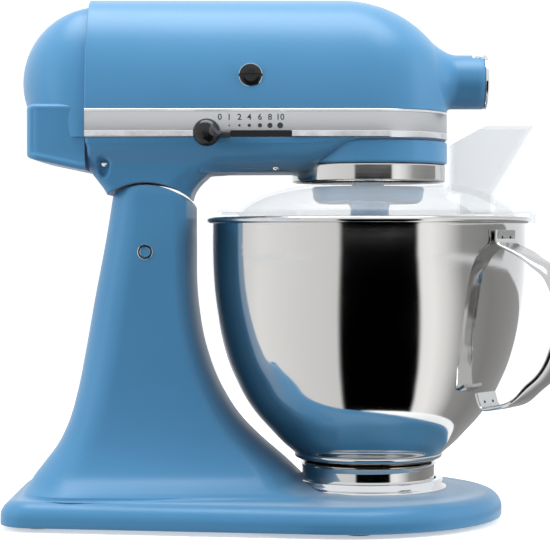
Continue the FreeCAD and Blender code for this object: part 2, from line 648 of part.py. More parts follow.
def worm_shape():
    """Single-start worm on the front of the armature shaft."""
    module = dim("module_spur")
    pitch = math.pi * module
    radius = dim("worm_pitch_radius")
    turns = 5
    root_r, tip_r = radius - 1.15 * module, radius + 0.75 * module
    slope = math.tan(math.radians(20))
    half = pitch * 0.38 / 2
    low_half = half + (radius - root_r + 0.3) * slope
    tip_half = half - (tip_r - radius) * slope
    start = dim("wheel_x") - turns * pitch / 2
    # the thread passes the wheel's centre line on the +Y side at half length
    helix = Part.makeHelix(pitch, turns * pitch, radius)
    r0 = root_r - 0.3
    section = Part.makePolygon([V(r0, 0, -low_half), V(tip_r, 0, -tip_half), V(tip_r, 0, tip_half),
                                V(r0, 0, low_half), V(r0, 0, -low_half)])
    pipe = Part.BRepOffsetAPI.MakePipeShell(helix)
    pipe.setFrenetMode(True)
    pipe.add(section)
    pipe.build()
    pipe.makeSolid()
    thread = pipe.shape()
    core = Part.makeCylinder(root_r, turns * pitch + 8, V(0, 0, -4))
    body = core.fuse(thread)
    body = body.common(Part.makeCylinder(tip_r + 1, turns * pitch + 4, V(0, 0, -2)))
    body = body.cut(Part.makeCylinder(dim("shaft_radius"), 60, V(0, 0, -20)))
    # local X of the helix goes to +Y and local Z to +X
    frame = FreeCAD.Matrix(0, 0, 1, start, 1, 0, 0, 0, 0, 1, 0, dim("motor_z"), 0, 0, 0, 1)
    half_turn = (turns % 2) * 180
    body.rotate(V(), Z_AXIS, half_turn)
    return moved(body, frame)


def moved(shape, matrix):
    """Copy of a shape put in place by a matrix."""
    copy = shape.copy()
    copy.Placement = FreeCAD.Placement(matrix).multiply(copy.Placement)
    return copy


def planetary_shape():
    """Turning head that carries the beater shaft round the bowl."""
    low, high, radius = dim("planet_low"), dim("planet_high"), dim("planet_radius")
    disc = Part.makeCylinder(radius, high - low, V(0, 0, low))
    rims = [e for e in disc.Edges if e.BoundBox.ZMax < low + 0.1]
    disc = disc.makeFillet(5.0, rims)
    disc = disc.cut(Part.makeCylinder(60, 40, V(0, 84, low - 5)))
    y = -dim("beater_offset")
    boss = Part.makeCylinder(13.0, 20, V(0, y, 202.0))
    post = Part.makeCylinder(9.0, 17, V(0, y, high - 0.01))
    centre = Part.makeCylinder(11.0, 16.0, V(0, 0, high - 0.01))
    body = disc.fuse(boss).fuse(centre).fuse(post.common(Part.makeCylinder(12.0, 14, V(0, y, high - 1))))
    body = body.cut(Part.makeCylinder(dim("beater_shaft_radius") + 0.05, 80, V(0, y, 190)))
    return body.cut(Part.makeCylinder(dim("centre_shaft_radius"), 80,
                                      V(0, 0, dim("centre_shaft_low")))).removeSplitter()


def beater_shape():
    """Flat cast beater: sleeve, arch and ribs in one plane."""
    thick = 9.0
    half = thick / 2
    outer = [(0, 150), (20, 146), (38, 130), (46, 108), (45, 84), (36, 63), (24, 50), (12, 44.5), (0, 43.5)]
    inner = [(0, 138), (16, 134), (29, 120), (35, 104), (34.5, 86), (27, 69), (17, 58), (8, 54), (0, 53.5)]

    def loop(points):
        both = [V(a, 0, b) for a, b in points] + [V(-a, 0, b) for a, b in points[-2:0:-1]]
        curve = Part.BSplineCurve()
        curve.interpolate(both, PeriodicFlag=True)
        return Part.Wire(curve.toShape())

    frame = Part.Face(loop(outer)).extrude(V(0, thick, 0))
    frame = frame.cut(Part.Face(loop(inner)).extrude(V(0, thick, 0)))
    frame.translate(V(0, -half, 0))
    spine = box(-4.5, 4.5, -half, half, 50, 142)
    rib = box(-37, 37, -half, half, 84, 91)
    lower = box(-31, 31, -half, half, 66, 71)
    upper = box(-33, 33, -half, half, 112, 118)
    sleeve = Part.makeCylinder(11.0, 44.0, V(0, 0, 138))
    body = frame.fuse([spine, rib, lower, upper, sleeve])
    body = body.cut(Part.makeCylinder(dim("beater_shaft_radius") + 0.03, 60, V(0, 0, 160)))
    pin = box(-14, 14, -2.6, 2.6, dim("beater_pin_z") - 2.6, 200)
    body = body.cut(pin)
    body.rotate(V(), Z_AXIS, 90)
    body.translate(V(0, -dim("beater_offset"), 0))
    return body.removeSplitter()


def shield_shape():
    """Clear dome over the bowl with a flange, hooks and a gap behind."""
    t = dim("shield_thick")
    m, foot, top, flange = dim("shield_mouth"), dim("shield_foot"), dim("shield_top"), dim("shield_flange")
    fz = dim("shield_flange_z")
    outer = Part.BSplineCurve()
    outer.interpolate([V(m, 0, top), V(66, 0, top - 1.6), V(82, 0, top - 6.0), V(95, 0, top - 12.5),
                       V(foot, 0, fz + t)])
    inner = Part.BSplineCurve()
    inner.interpolate([V(m, 0, top - t), V(65.5, 0, top - t - 1.6), V(81, 0, top - t - 6.2),
                       V(93, 0, top - t - 12.7), V(foot - 2.2, 0, fz)])
    low = 202.0
    path = [V(foot, 0, fz + t), V(flange, 0, fz + t), V(flange, 0, fz), V(foot + 1.2, 0, fz),
            V(foot + 1.2, 0, low), V(foot - 1.0, 0, low), V(foot - 2.2, 0, fz)]
    edges = [outer.toShape()]
    edges += [Part.makeLine(a, b) for a, b in zip(path, path[1:])]
    edges += [inner.toShape(), Part.makeLine(V(m, 0, top - t), V(m, 0, top))]
    body = Part.Face(Part.Wire(Part.__sortEdges__(edges))).revolve(V(), Z_AXIS, 360)
    gap = box(-130, -20, -52, 52, 195, 240)
    body = body.cut(gap)
    for angle in (-122, 0, 122):
        tab = Part.makeCylinder(flange, fz + 0.01 - 200.9, V(0, 0, 200.9)).cut(
            Part.makeCylinder(flange - 1.9, 20, V(0, 0, 199)))
        wedge = box(60, 130, -11, 11, 195, 215)
        wedge.rotate(V(), Z_AXIS, angle)
        body = body.fuse(tab.common(wedge))
    mouth = box(59, 91.2, 24.8, 65.2, 196, 240)
    return body.cut(mouth).removeSplitter()


def chute_shape():
    """Clear funnel beside the hub that leads through the shield."""
    t = 2.0

    def frustum(grow, z0, z1):
        low = Part.makePolygon([V(62 - grow, 28 - grow, z0), V(88 + grow, 28 - grow, z0),
                                V(88 + grow, 62 + grow, z0), V(62 - grow, 62 + grow, z0),
                                V(62 - grow, 28 - grow, z0)])
        high = Part.makePolygon([V(62 - grow, 22 - grow, z1), V(116 + grow, 22 - grow, z1),
                                 V(116 + grow, 68 + grow, z1), V(62 - grow, 68 + grow, z1),
                                 V(62 - grow, 22 - grow, z1)])
        return Part.makeLoft([low, high], True, True)

    outer = frustum(t, 222, 269.5)
    outer = outer.fuse(box(66.2, 90, 28.2, 61.8, 208, 222.1))
    inner = frustum(0, 222, 269.6).fuse(box(68.2, 88, 30.2, 59.8, 207, 222.1))
    body = outer.cut(inner)
    return body.cut(Part.makeCylinder(57.0, 90, V(0, 0, 200))).removeSplitter()


# ------------------------------------------------------------------ base

feature("pedestal", pedestal_shape())

pads = []
for i, (x, y) in enumerate(foot_places()):
    pads.append(rod(f"rubber_pad_{i}", UPRIGHT, (str(x), str(y), "0"), "dims.pad_radius", "dims.pad_height"))
node(group("rubber_feet", *pads), "rubber_feet")

clamp = turned("clamp_plate_blank", [
    ("0", "dims.plate_floor"), ("dims.plate_radius", "dims.plate_floor"),
    ("dims.plate_radius", "dims.plate_floor + dims.plate_thick"),
    ("dims.ring_outer + 0.8", "dims.plate_floor + dims.plate_thick"),
    ("dims.ring_outer", "dims.ring_top - 1"), ("dims.ring_outer - 1", "dims.ring_top"),
    ("dims.lip_inner", "dims.ring_top"), ("dims.lip_inner", "dims.ring_top - dims.lip_thick"),
    ("dims.ring_inner", "dims.ring_top - dims.lip_thick"),
    ("dims.ring_inner", "dims.plate_floor + dims.plate_thick"),
    ("0", "dims.plate_floor + dims.plate_thick")])
windows = []
for i in range(4):
    window = primitive("Box", f"lug_window_{i}", FreeCAD.Rotation(Z_AXIS, 90 * i + 40),
                       ("0", "0", "dims.ring_top - dims.lip_thick"),
                       Length="dims.ring_inner", Width="26", Height="4")
    windows.append(window)
cutter = fuse("lug_windows", *windows)
holes = [rod(f"plate_hole_{i}", UPRIGHT, (str(round(x, 3)), str(round(y, 3)), "10"), "2.2", "30")
         for i, (x, y) in enumerate(screw_places())]
plate_windows = cut("clamp_plate_windows", clamp, cutter)
node(cut("bowl_clamp_plate", plate_windows, fuse("plate_holes", *holes)), "bowl_clamp_plate")

screws = []
for i, (x, y) in enumerate(screw_places()):
    at = (str(round(x, 3)), str(round(y, 3)))
    head = primitive("Cone", f"plate_screw_head_{i}", UPRIGHT,
                     (at[0], at[1], "dims.plate_floor + dims.plate_thick"),
                     Radius1="3.6", Radius2="2.4", Height="1.1")
    shank = rod(f"plate_screw_shank_{i}", UPRIGHT, (at[0], at[1], "12"), "1.95",
                "dims.plate_floor + dims.plate_thick - 12")
    slot = primitive("Box", f"plate_screw_slot_{i}", UPRIGHT,
                     (f"{at[0]} - 4", f"{at[1]} - 0.5", "dims.plate_floor + dims.plate_thick + 0.5"),
                     Length="8", Width="1", Height="2")
    screws.append(cut(f"plate_screw_{i}", fuse(f"plate_screw_blank_{i}", head, shank), slot))
node(group("clamp_plate_screws", *screws), "clamp_plate_screws")

pin = rod("hinge_pin_blank", ALONG_Y, ("dims.hinge_x", "-dims.pin_half", "dims.hinge_z"),
          "dims.pin_radius - 0.001", "2 * dims.pin_half")
socket_a = rod("hinge_pin_socket", ALONG_Y, ("dims.hinge_x", "-dims.pin_half", "dims.hinge_z"), "3.2", "4")
socket_b = rod("hinge_pin_far_socket", ALONG_Y, ("dims.hinge_x", "dims.pin_half - 4", "dims.hinge_z"), "3.2",
               "4")
node(cut("hinge_pin", pin, fuse("hinge_pin_sockets", socket_a, socket_b)), "hinge_pin")

# ------------------------------------------------------------------ head castings

feature("motor_housing", housing_shape())
feature("rear_cover", rear_cover_shape())
feature("lower_gearcase", gearcase_shape())
feature("trim_band", band_shape())

drip = turned("drip_ring", [
    ("dims.drip_radius - 8", "dims.drip_high - dims.drip_thick"),
    ("dims.drip_radius - dims.drip_thick", "dims.drip_high - dims.drip_thick"),
    ("dims.drip_radius - dims.drip_thick", "dims.drip_low + 1.2"),
    ("dims.drip_radius - 1.9", "dims.drip_low"),
    ("dims.drip_radius - 0.4", "dims.drip_low"),
    ("dims.drip_radius", "dims.drip_low + 1.2"), ("dims.drip_radius", "dims.drip_high - 0.8"),
    ("dims.drip_radius - 0.8", "dims.drip_high"), ("dims.drip_radius - 8", "dims.drip_high")])
node(drip, "drip_ring")

# screw that holds the rear cover
cover_screw = fuse("rear_cover_screw",
                   rod("cover_screw_head", ALONG_X, ("dims.cap_box_x - 1.2", "0", "262"), "4.2", "1.2"),
                   rod("cover_screw_shank", ALONG_X, ("dims.cap_box_x", "0", "262"), "2", "3.9"))
node(cover_screw, "rear_cover_screw")

# ------------------------------------------------------------------ brushes

caps = []
brushes = []
springs = []
for side in (-1, 1):
    tag = "near" if side < 0 else "far"
    turn = FreeCAD.Rotation(X_AXIS, 90 if side < 0 else -90)
    cap = rod(f"brush_cap_{tag}_blank", turn, ("dims.brush_x", f"{side * 45.0}", "dims.brush_z"),
              "dims.brush_cap_radius", "10.8")
    slot = primitive("Box", f"brush_cap_{tag}_slot", UPRIGHT,
                     ("dims.brush_x - 10", f"{54.3 if side > 0 else -58.3}", "dims.brush_z - 1"),
                     Length="20", Width="4", Height="2")
    caps.append(cut(f"brush_cap_{tag}", cap, slot))
    y0 = 13.4 if side > 0 else -33.4
    brushes.append(primitive("Box", f"brush_{tag}", UPRIGHT,
                             ("dims.brush_x - 5", str(y0), "dims.brush_z - 3.5"),
                             Length="10", Width="20", Height="7"))
    coil = doc.addObject("Part::Feature", f"brush_coil_{tag}")
    wire = Part.makeHelix(2.0, 10.0, 2.6)
    ring = Part.Wire(Part.makeCircle(0.4, V(2.6, 0, 0), Y_AXIS))
    pipe = Part.BRepOffsetAPI.MakePipeShell(wire)
    pipe.setFrenetMode(True)
    pipe.add(ring)
    pipe.build()
    pipe.makeSolid()
    coil.Shape = pipe.shape()
    coil.Placement = FreeCAD.Placement(V(dim("brush_x"), side * 34.1, dim("brush_z")), turn)
    springs.append(coil)
node(group("brush_caps", *caps), "brush_caps")
node(group("carbon_brushes", *brushes), "carbon_brushes")
node(group("brush_springs", *springs), "brush_springs")

# ------------------------------------------------------------------ motor

stator = tube("motor_stator", ALONG_X, ("dims.stator_rear", "0", "dims.motor_z"), "dims.stator_outer",
              "dims.stator_bore",
              "dims.stator_front - dims.stator_rear")
node(stator, "motor_stator")

coils = []
for side in (-1, 1):
    for place in ("dims.stator_rear - 10.2", "dims.stator_front + 0.2"):
        ring = tube(f"field_coil_{len(coils)}", ALONG_X, (place, "0", "dims.motor_z"), "38", "27", "10")
        clip = primitive("Box", f"field_coil_half_{len(coils)}", UPRIGHT,
                         (f"{place} - 1", "-40" if side < 0 else "6", "dims.motor_z - 24"), Length="12",
                         Width="34", Height="48")
        part = doc.addObject("Part::Common", f"field_winding_{len(coils)}")
        part.Base = ring
        part.Tool = clip
        coils.append(part)
node(group("field_coils", *coils), "field_coils")

bearings = []
for label in ("rear_bearing", "front_bearing"):
    bearings.append(tube(label, ALONG_X, (f"dims.{label}_x", "0", "dims.motor_z"), "dims.bearing_outer",
                         "dims.shaft_radius + 0.02", "dims.bearing_wide"))
node(group("motor_bearings", *bearings), "motor_bearings")

for label, place in (("rear_bearing_bracket", "dims.rear_bearing_x"),
                     ("front_bearing_bracket", "dims.front_bearing_x")):
    bar = primitive("Box", f"{label}_bar", UPRIGHT, (f"{place} + 1", "-44", "dims.motor_z - 12"), Length="5",
                    Width="88", Height="24")
    eye = rod(f"{label}_eye", ALONG_X, (place, "0", "dims.motor_z"), "15", "dims.bearing_wide")
    hole = rod(f"{label}_hole", ALONG_X, (f"{place} - 1", "0", "dims.motor_z"), "dims.bearing_outer",
               "dims.bearing_wide + 2")
    node(cut(label, fuse(f"{label}_blank", bar, eye), hole), label)

node(rod("armature_shaft", ALONG_X, ("dims.shaft_rear", "0", "dims.motor_z"), "dims.shaft_radius",
         "dims.shaft_front - dims.shaft_rear"), "armature_shaft")
node(tube("armature_core", ALONG_X, ("dims.core_rear", "0", "dims.motor_z"), "dims.core_radius",
          "dims.shaft_radius", "dims.core_front - dims.core_rear"), "armature_core")
node(tube("commutator", ALONG_X, ("dims.commutator_rear", "0", "dims.motor_z"), "dims.commutator_radius",
          "dims.shaft_radius",
          "dims.commutator_front - dims.commutator_rear"), "commutator")

fan = doc.addObject("PartDesign::Body", "fan_body")
fan_disc = outline_sketch(fan, "fan_section", "XZ_Plane", [
    ("dims.shaft_radius", "0"), ("36", "0"), ("36", "1.5"), ("9", "1.5"), ("9", "5.5"),
    ("dims.shaft_radius", "5.5")])
fan_turn = fan.newObject("PartDesign::Revolution", "fan_turning")
fan_turn.Profile = fan_disc
fan_turn.ReferenceAxis = (fan_disc, ["V_Axis"])
fan_turn.Angle = 360
fan_blade = outline_sketch(fan, "fan_blade_outline", "XY_Plane",
                           [("8", "0"), ("35", "5"), ("35", "6.4"), ("8", "1.4")])
blade_pad = fan.newObject("PartDesign::Pad", "fan_blade")
blade_pad.Profile = fan_blade
blade_pad.Length = 5.5
doc.recompute()
blades = fan.newObject("PartDesign::PolarPattern", "fan_blades")
blades.Originals = [blade_pad]
blades.Axis = (fan_blade, ["N_Axis"])
blades.Angle = 360
blades.Occurrences = 11
fan.Tip = blades
fan.Placement = FreeCAD.Placement(V(-177.5, 0, dim("motor_z")), ALONG_X)
node(fan, "cooling_fan")

feature("worm", worm_shape())

# ------------------------------------------------------------------ gear train

feature("worm_wheel", wheel_shape())
centre_phase = math.atan2(dim("wheel_y"), dim("wheel_x"))
wheel_shaft = rod("wheel_shaft", UPRIGHT, ("dims.wheel_x", "dims.wheel_y", "258"), "5", "48")
node(wheel_shaft, "wheel_shaft")
pinion_teeth = int(dim("pinion_teeth"))
feature("drive_pinion", spur(pinion_teeth, dim("spur_low"), dim("spur_high"),
                             centre_phase + math.pi + math.pi / pinion_teeth,
                             5.0, V(dim("wheel_x"), dim("wheel_y"), 0)))
feature("centre_gear", spur(int(dim("centre_teeth")), dim("spur_low") + 0.5, dim("spur_high") - 0.8,
                            centre_phase,
                            dim("centre_shaft_radius"), V()))
centre_bevel = bevel(int(dim("bevel_teeth")), dim("bevel_radius"), dim("centre_shaft_radius"), 0.0, 2.6)
feature("centre_bevel", centre_bevel, V(0, 0, dim("motor_z")))
node(rod("centre_shaft", UPRIGHT, ("0", "0", "dims.centre_shaft_low"), "dims.centre_shaft_radius",
         "dims.centre_shaft_top - dims.centre_shaft_low"), "centre_shaft")
feature("planetary", planetary_shape())
feature("ring_gear", ring_gear_shape())

hub_bevel = bevel(int(dim("bevel_teeth")), dim("bevel_radius"), 6.0, 0.0, 6.0)
# a space faces down where the centre bevel has its tooth
hub_bevel.rotate(V(), Z_AXIS, 180.0 / dim("bevel_teeth"))
hub_bevel.rotate(V(), Y_AXIS, -90)
feature("hub_bevel", hub_bevel, V(0, 0, dim("motor_z")))
spindle = rod("hub_spindle_blank", ALONG_X, ("dims.bevel_radius", "0", "dims.motor_z"), "6", "24")
square = primitive("Box", "hub_spindle_square", UPRIGHT, ("dims.bevel_radius + 8", "-3.6",
                                                          "dims.motor_z - 3.6"), Length="30", Width="7.2",
                                                          Height="7.2")
node(cut("hub_spindle", spindle, square), "hub_spindle")

# bracket with the two bearings of the wheel shaft
bracket_bar = primitive("Box", "wheel_bracket_bar", UPRIGHT, ("dims.wheel_x - 9", "dims.wheel_y - 9", "303"),
                        Length="18", Width="32", Height="6")
bracket_hole = rod("wheel_bracket_hole", UPRIGHT, ("dims.wheel_x", "dims.wheel_y", "300"), "5.05", "12")
node(cut("worm_wheel_bracket", bracket_bar, bracket_hole), "worm_wheel_bracket")

# ------------------------------------------------------------------ beater

beater_shaft = rod("beater_shaft_blank", UPRIGHT, ("0", "-dims.beater_offset", "dims.beater_shaft_low"),
                   "dims.beater_shaft_radius", "253 - dims.beater_shaft_low")
cross = rod("beater_pin_hole", ALONG_X, ("-12", "-dims.beater_offset", "dims.beater_pin_z"), "2", "24")
node(cut("beater_shaft", beater_shaft, cross), "beater_shaft")
node(rod("beater_shaft_pin", ALONG_X, ("-11", "-dims.beater_offset", "dims.beater_pin_z"), "1.99", "22"),
     "beater_shaft_pin")
feature("planet_pinion", spur(int(dim("planet_teeth")), dim("ring_gear_low") + 0.3,
                              dim("ring_gear_high") - 0.5, -math.pi / 2,
                              dim("beater_shaft_radius"), V(0, -dim("beater_offset"), 0)))
feature("flat_beater", beater_shape())

# ------------------------------------------------------------------ hub cover and knob

cover_disc = turned("hub_cover_disc", [
    ("0", "0"), ("dims.hub_radius", "0"), ("dims.hub_radius", "dims.hub_cover_thick - 0.8"),
    ("dims.hub_radius - 0.8", "dims.hub_cover_thick"), ("6", "dims.hub_cover_thick + 1.3"),
    ("0", "dims.hub_cover_thick + 1.4")],
    ALONG_X, ("dims.hub_front + 0.3", "0", "dims.motor_z"))
knuckle = rod("hub_cover_knuckle", ALONG_Y, ("dims.hub_front - 3", "-9", "313.2"), "2.9", "18")
ear = primitive("Box", "hub_cover_ear", UPRIGHT, ("dims.hub_front - 3", "-9", "311.4"), Length="4.5",
                Width="18", Height="3.6")
knuckle_hole = rod("hub_cover_hole", ALONG_Y, ("dims.hub_front - 3", "-12", "313.2"), "1.25", "24")
node(cut("hub_cover", fuse("hub_cover_blank", cover_disc, knuckle, ear), knuckle_hole), "hub_cover")
node(rod("hub_cover_pin", ALONG_Y, ("dims.hub_front - 3", "-9.4", "313.2"), "1.2", "18.8"), "hub_cover_pin")

knob = turned("attachment_knob_head", [
    ("0", "0"), ("9", "0"), ("11.5", "1.5"), ("11.5", "13"), ("10", "15"), ("0", "15.8")],
    ALONG_Y, ("64", "19.2", "dims.motor_z"))
thread = rod("attachment_knob_thread", ALONG_Y, ("64", "12.2", "dims.motor_z"), "3", "8")
node(fuse("attachment_knob", knob, thread), "attachment_knob")

# ------------------------------------------------------------------ controls

lever_knob = turned("speed_knob_head", [
    ("0", "0"), ("6", "0"), ("dims.knob_radius", "2"), ("dims.knob_radius", "9"), ("6.5", "12.6"),
    ("0", "13.6")],
    FreeCAD.Rotation(X_AXIS, 90), ("dims.knob_x", "-dims.head_half - 1.6", "dims.knob_z"))
node(lever_knob, "speed_knob")
stub = rod("lever_stub", ALONG_X, ("dims.knob_x + 6", "-dims.head_half - 5", "dims.knob_z - 0.6"), "2.6",
           "9.5")
finger = primitive("Box", "lever_finger", UPRIGHT, ("dims.lever_x - 1.5", "-dims.head_half - 6.5",
                                                    "dims.slot_low + 0.6"), Length="3", Width="17",
                                                    Height="2.8")
link = primitive("Box", "lever_link", UPRIGHT, ("-175", "-49.4", "dims.slot_low + 0.6"), Length="80.6",
                 Width="1.6", Height="2.8")
stub_clear = rod("stub_clear", FreeCAD.Rotation(X_AXIS, 90),
                 ("dims.knob_x", "-dims.head_half - 1.6", "dims.knob_z"), "dims.knob_radius", "14")
node(fuse("speed_lever", cut("lever_stub_cut", stub, stub_clear), finger, link), "speed_lever")

lock_slide = fuse("lock_knob_blank",
                  primitive("Box", "lock_slide_stem", UPRIGHT, ("-147", "42", "247.6"), Length="6",
                            Width="16", Height="2.4"),
                  primitive("Box", "lock_slide_button", UPRIGHT, ("-151", "55.4", "243.8"), Length="14",
                            Width="7", Height="10"))
node(lock_slide, "lock_lever")

# speed control at the rear
node(tube("speed_control_plate", ALONG_X, ("-200", "0", "dims.motor_z"), "34", "12", "2.5"),
     "speed_control_plate")
node(primitive("Box", "control_board", UPRIGHT, ("-210", "-27", "274"), Length="1.6", Width="54",
               Height="46"), "control_board")

# ------------------------------------------------------------------ bowl

feature("bowl", bowl_shape())
foot_ring = turned("bowl_foot_ring", [
    ("dims.bowl_foot_radius - 1.4", "dims.bowl_foot_low"), ("dims.bowl_foot_radius", "dims.bowl_foot_low"),
    ("dims.bowl_foot_radius", "dims.bowl_base - 0.2"),
    ("dims.bowl_foot_radius - 1.4", "dims.bowl_base - 0.2")])
lugs = []
for i in range(4):
    lugs.append(primitive("Box", f"foot_lug_{i}", FreeCAD.Rotation(Z_AXIS, 90 * i),
                          ("0", "0", "dims.bowl_foot_low"),
                          Length="dims.bowl_foot_radius + 3.2", Width="12", Height="2"))
lug_blank = fuse("foot_lugs", *lugs)
lug_zone = tube("foot_lug_zone", UPRIGHT, ("0", "0", "dims.bowl_foot_low"), "dims.ring_inner - 0.8",
                "dims.bowl_foot_radius - 0.5", "2")
lug_ring = doc.addObject("Part::Common", "foot_lug_ring")
lug_ring.Base = lug_blank
lug_ring.Tool = lug_zone
node(fuse("bowl_foot", foot_ring, lug_ring), "bowl_foot")
feature("bowl_handle", handle_shape())

# ------------------------------------------------------------------ shield and chute

feature("pouring_shield", shield_shape())
feature("pour_chute", chute_shape())

# ------------------------------------------------------------------ output

doc.recompute()
faults = []
for thing in doc.Objects:
    if {"Invalid", "Error"} & set(thing.State):
        faults.append(f"{thing.Name}: {thing.State}")
for label, thing in NODES.items():
    if thing.Shape.isNull() or not thing.Shape.isValid():
        faults.append(f"{label}: shape is not valid")
if faults:
    raise RuntimeError("; ".join(faults))

os.makedirs("parts", exist_ok=True)
for label, thing in NODES.items():
    thing.Shape.exportStep(f"parts/{label}.step")
    box_of = thing.Shape.optimalBoundingBox(False)
    print(f"{label:24s} solids {len(thing.Shape.Solids)} volume {thing.Shape.Volume:12.1f}  "
          f"x {box_of.XMin:.1f} {box_of.XMax:.1f} y {box_of.YMin:.1f} {box_of.YMax:.1f} "
          f"z {box_of.ZMin:.1f} {box_of.ZMax:.1f}")
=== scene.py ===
import math

import bmesh
import bpy
import numpy as np
from mathutils import Matrix, Vector


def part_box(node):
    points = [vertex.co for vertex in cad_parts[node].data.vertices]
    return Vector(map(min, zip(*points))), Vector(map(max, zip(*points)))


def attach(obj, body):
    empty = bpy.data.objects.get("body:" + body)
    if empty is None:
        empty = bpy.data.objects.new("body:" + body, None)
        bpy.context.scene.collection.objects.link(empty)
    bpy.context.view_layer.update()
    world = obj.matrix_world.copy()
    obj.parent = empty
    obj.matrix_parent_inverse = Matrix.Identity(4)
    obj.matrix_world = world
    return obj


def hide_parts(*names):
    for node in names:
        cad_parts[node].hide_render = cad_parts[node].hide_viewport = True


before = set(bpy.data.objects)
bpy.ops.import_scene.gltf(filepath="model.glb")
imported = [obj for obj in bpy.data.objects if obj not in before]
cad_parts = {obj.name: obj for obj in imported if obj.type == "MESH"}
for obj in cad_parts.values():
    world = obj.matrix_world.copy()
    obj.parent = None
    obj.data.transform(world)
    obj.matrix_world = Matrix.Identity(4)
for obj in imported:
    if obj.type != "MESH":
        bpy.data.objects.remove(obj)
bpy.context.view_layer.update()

# ---------------------------------------------------------------- base casting
# The base and column are one die casting, hollow below, with a satin enamel finish.
# The sole is a keyhole outline, and the column rises from it with a soft crease down its front.


def linear(code):
    """Linear colour of an sRGB hex code."""
    parts = [int(code[i:i + 2], 16) / 255 for i in (1, 3, 5)]
    return [c / 12.92 if c <= 0.04045 else ((c + 0.055) / 1.055) ** 2.4 for c in parts] + [1.0]


def add(tree, kind, inputs=None, **settings):
    """Add a node with its settings, and set or link its inputs."""
    made = tree.nodes.new(kind)
    for key, value in settings.items():
        setattr(made, key, value)
    for key, value in (inputs or {}).items():
        if isinstance(value, bpy.types.NodeSocket):
            tree.links.new(value, made.inputs[key])
        else:
            made.inputs[key].default_value = value
    return made


def surface(name, colour, **values):
    """Material with a Principled shader; gives the material, its tree, its shader and Object coordinates."""
    made = bpy.data.materials.new(name)
    made.use_nodes = True
    tree = made.node_tree
    shader = tree.nodes["Principled BSDF"]
    shader.inputs["Base Color"].default_value = linear(colour)
    for key, value in values.items():
        shader.inputs[key.replace("_", " ")].default_value = value
    return made, tree, shader, add(tree, "ShaderNodeTexCoord").outputs["Object"]


def grain(tree, shader, place, socket, pattern, low, high):
    """Run a finish's colour or value between two ends by a pattern, or raise a relief high millimetres by it.

    The pattern is another node's output, or (size, detail) or (size, detail, stretch) for noise whose blobs
    are about size millimetres across.
    """
    if isinstance(pattern, tuple):
        size, detail, stretch = (*pattern, (1, 1, 1))[:3]
        scaled = add(tree, "ShaderNodeVectorMath", {0: place, 1: [1000 / size / s for s in stretch]},
                     operation="MULTIPLY")
        blobs = add(tree, "ShaderNodeTexNoise", {"Vector": scaled.outputs[0], "Scale": 1.0, "Detail": detail})
        pattern = blobs.outputs[0]
    if socket == "Normal":
        done = add(tree, "ShaderNodeBump", {"Height": pattern, "Strength": 1.0, "Distance": high / 1000})
    elif isinstance(low, str):
        done = add(tree, "ShaderNodeMix", {0: pattern, 6: linear(low), 7: linear(high)}, data_type="RGBA")
    else:
        done = add(tree, "ShaderNodeMapRange", {0: pattern, 1: 0.3, 2: 0.7, 3: low, 4: high})
    tree.links.new(done.outputs[2 if isinstance(low, str) else 0], shader.inputs[socket])


def ring_faces(rows, columns, closed):
    """Quads between successive rings of points."""
    last = columns if closed else columns - 1
    return [(i * columns + j, i * columns + (j + 1) % columns, (i + 1) * columns + (j + 1) % columns,
             (i + 1) * columns + j) for i in range(rows - 1) for j in range(last)]


def zipped(start, columns):
    """Faces that close a mirrored ring, whose first point and middle point lie on the mirror."""
    half = columns // 2
    faces = [(start, start + 1, start + columns - 1)]
    faces += [(start + k, start + k + 1, start + columns - k - 1, start + columns - k)
              for k in range(1, half - 1)]
    return faces + [(start + half - 1, start + half, start + half + 1)]


def shell(rings, first="open", last="open", closed=True, mark=0):
    """Surface through rings of points in millimetres; an end is open, zipped across, or drawn to a point."""
    rings = np.asarray(rings, float)
    rows, columns = rings.shape[:2]
    points = rings.reshape(-1, 3).tolist()
    faces = ring_faces(rows, columns, closed)
    for end, start in ((first, 0), (last, (rows - 1) * columns)):
        if end == "zip":
            faces += zipped(start, columns)
        elif end != "open":
            points.append(list(end))
            faces += [(start + j, start + (j + 1) % columns, len(points) - 1) for j in range(columns)]
    return points, faces, mark


def moved(part, matrix):
    """The same surface, put elsewhere."""
    return [list(matrix @ Vector(p)) for p in part[0]], part[1], part[2]


def held(profile, looped):
    """Profile with points added beside the ends of its long spans, so smooth shading leaves them flat."""
    ends = list(profile) + (list(profile[:1]) if looped else [])
    kept = []
    for a, b in zip(ends, ends[1:]):
        kept.append(a)
        length = math.dist(a, b)
        if length > 2.5:
            share = 0.35 / length
            kept += [tuple(np.array(a) * (1 - t) + np.array(b) * t) for t in (share, 1 - share)]
    return kept if looped else kept + [ends[-1]]


def lathe(profile, steps=128, axis="Z", at=(0, 0, 0), mark=0, looped=False):
    """Turned surface from (radius, height) points; looped for a hollow ring."""
    angles = np.linspace(0, 2 * math.pi, steps, endpoint=False)
    solid = [(max(r, 0), z) for r, z in held(profile, looped)]
    ends = ["open", "open"]
    if not looped:
        if solid[0][0] < 1e-6:
            ends[0] = (0, 0, solid.pop(0)[1])
        if solid[-1][0] < 1e-6:
            ends[1] = (0, 0, solid.pop()[1])
    rings = [[(r * math.cos(a), r * math.sin(a), z) for a in angles] for r, z in solid]
    part = shell(rings + (rings[:1] if looped else []), ends[0], ends[1], mark=mark)
    turn = {"Z": Matrix.Identity(4), "X": Matrix.Rotation(math.pi / 2, 4, "Y"),
            "Y": Matrix.Rotation(-math.pi / 2, 4, "X")}[axis]
    return moved(part, Matrix.Translation(at) @ turn)


def linked(name, data):
    """New object in the scene for a mesh, curve, lamp or camera."""
    made = bpy.data.objects.new(name, data)
    bpy.context.scene.collection.objects.link(made)
    return made


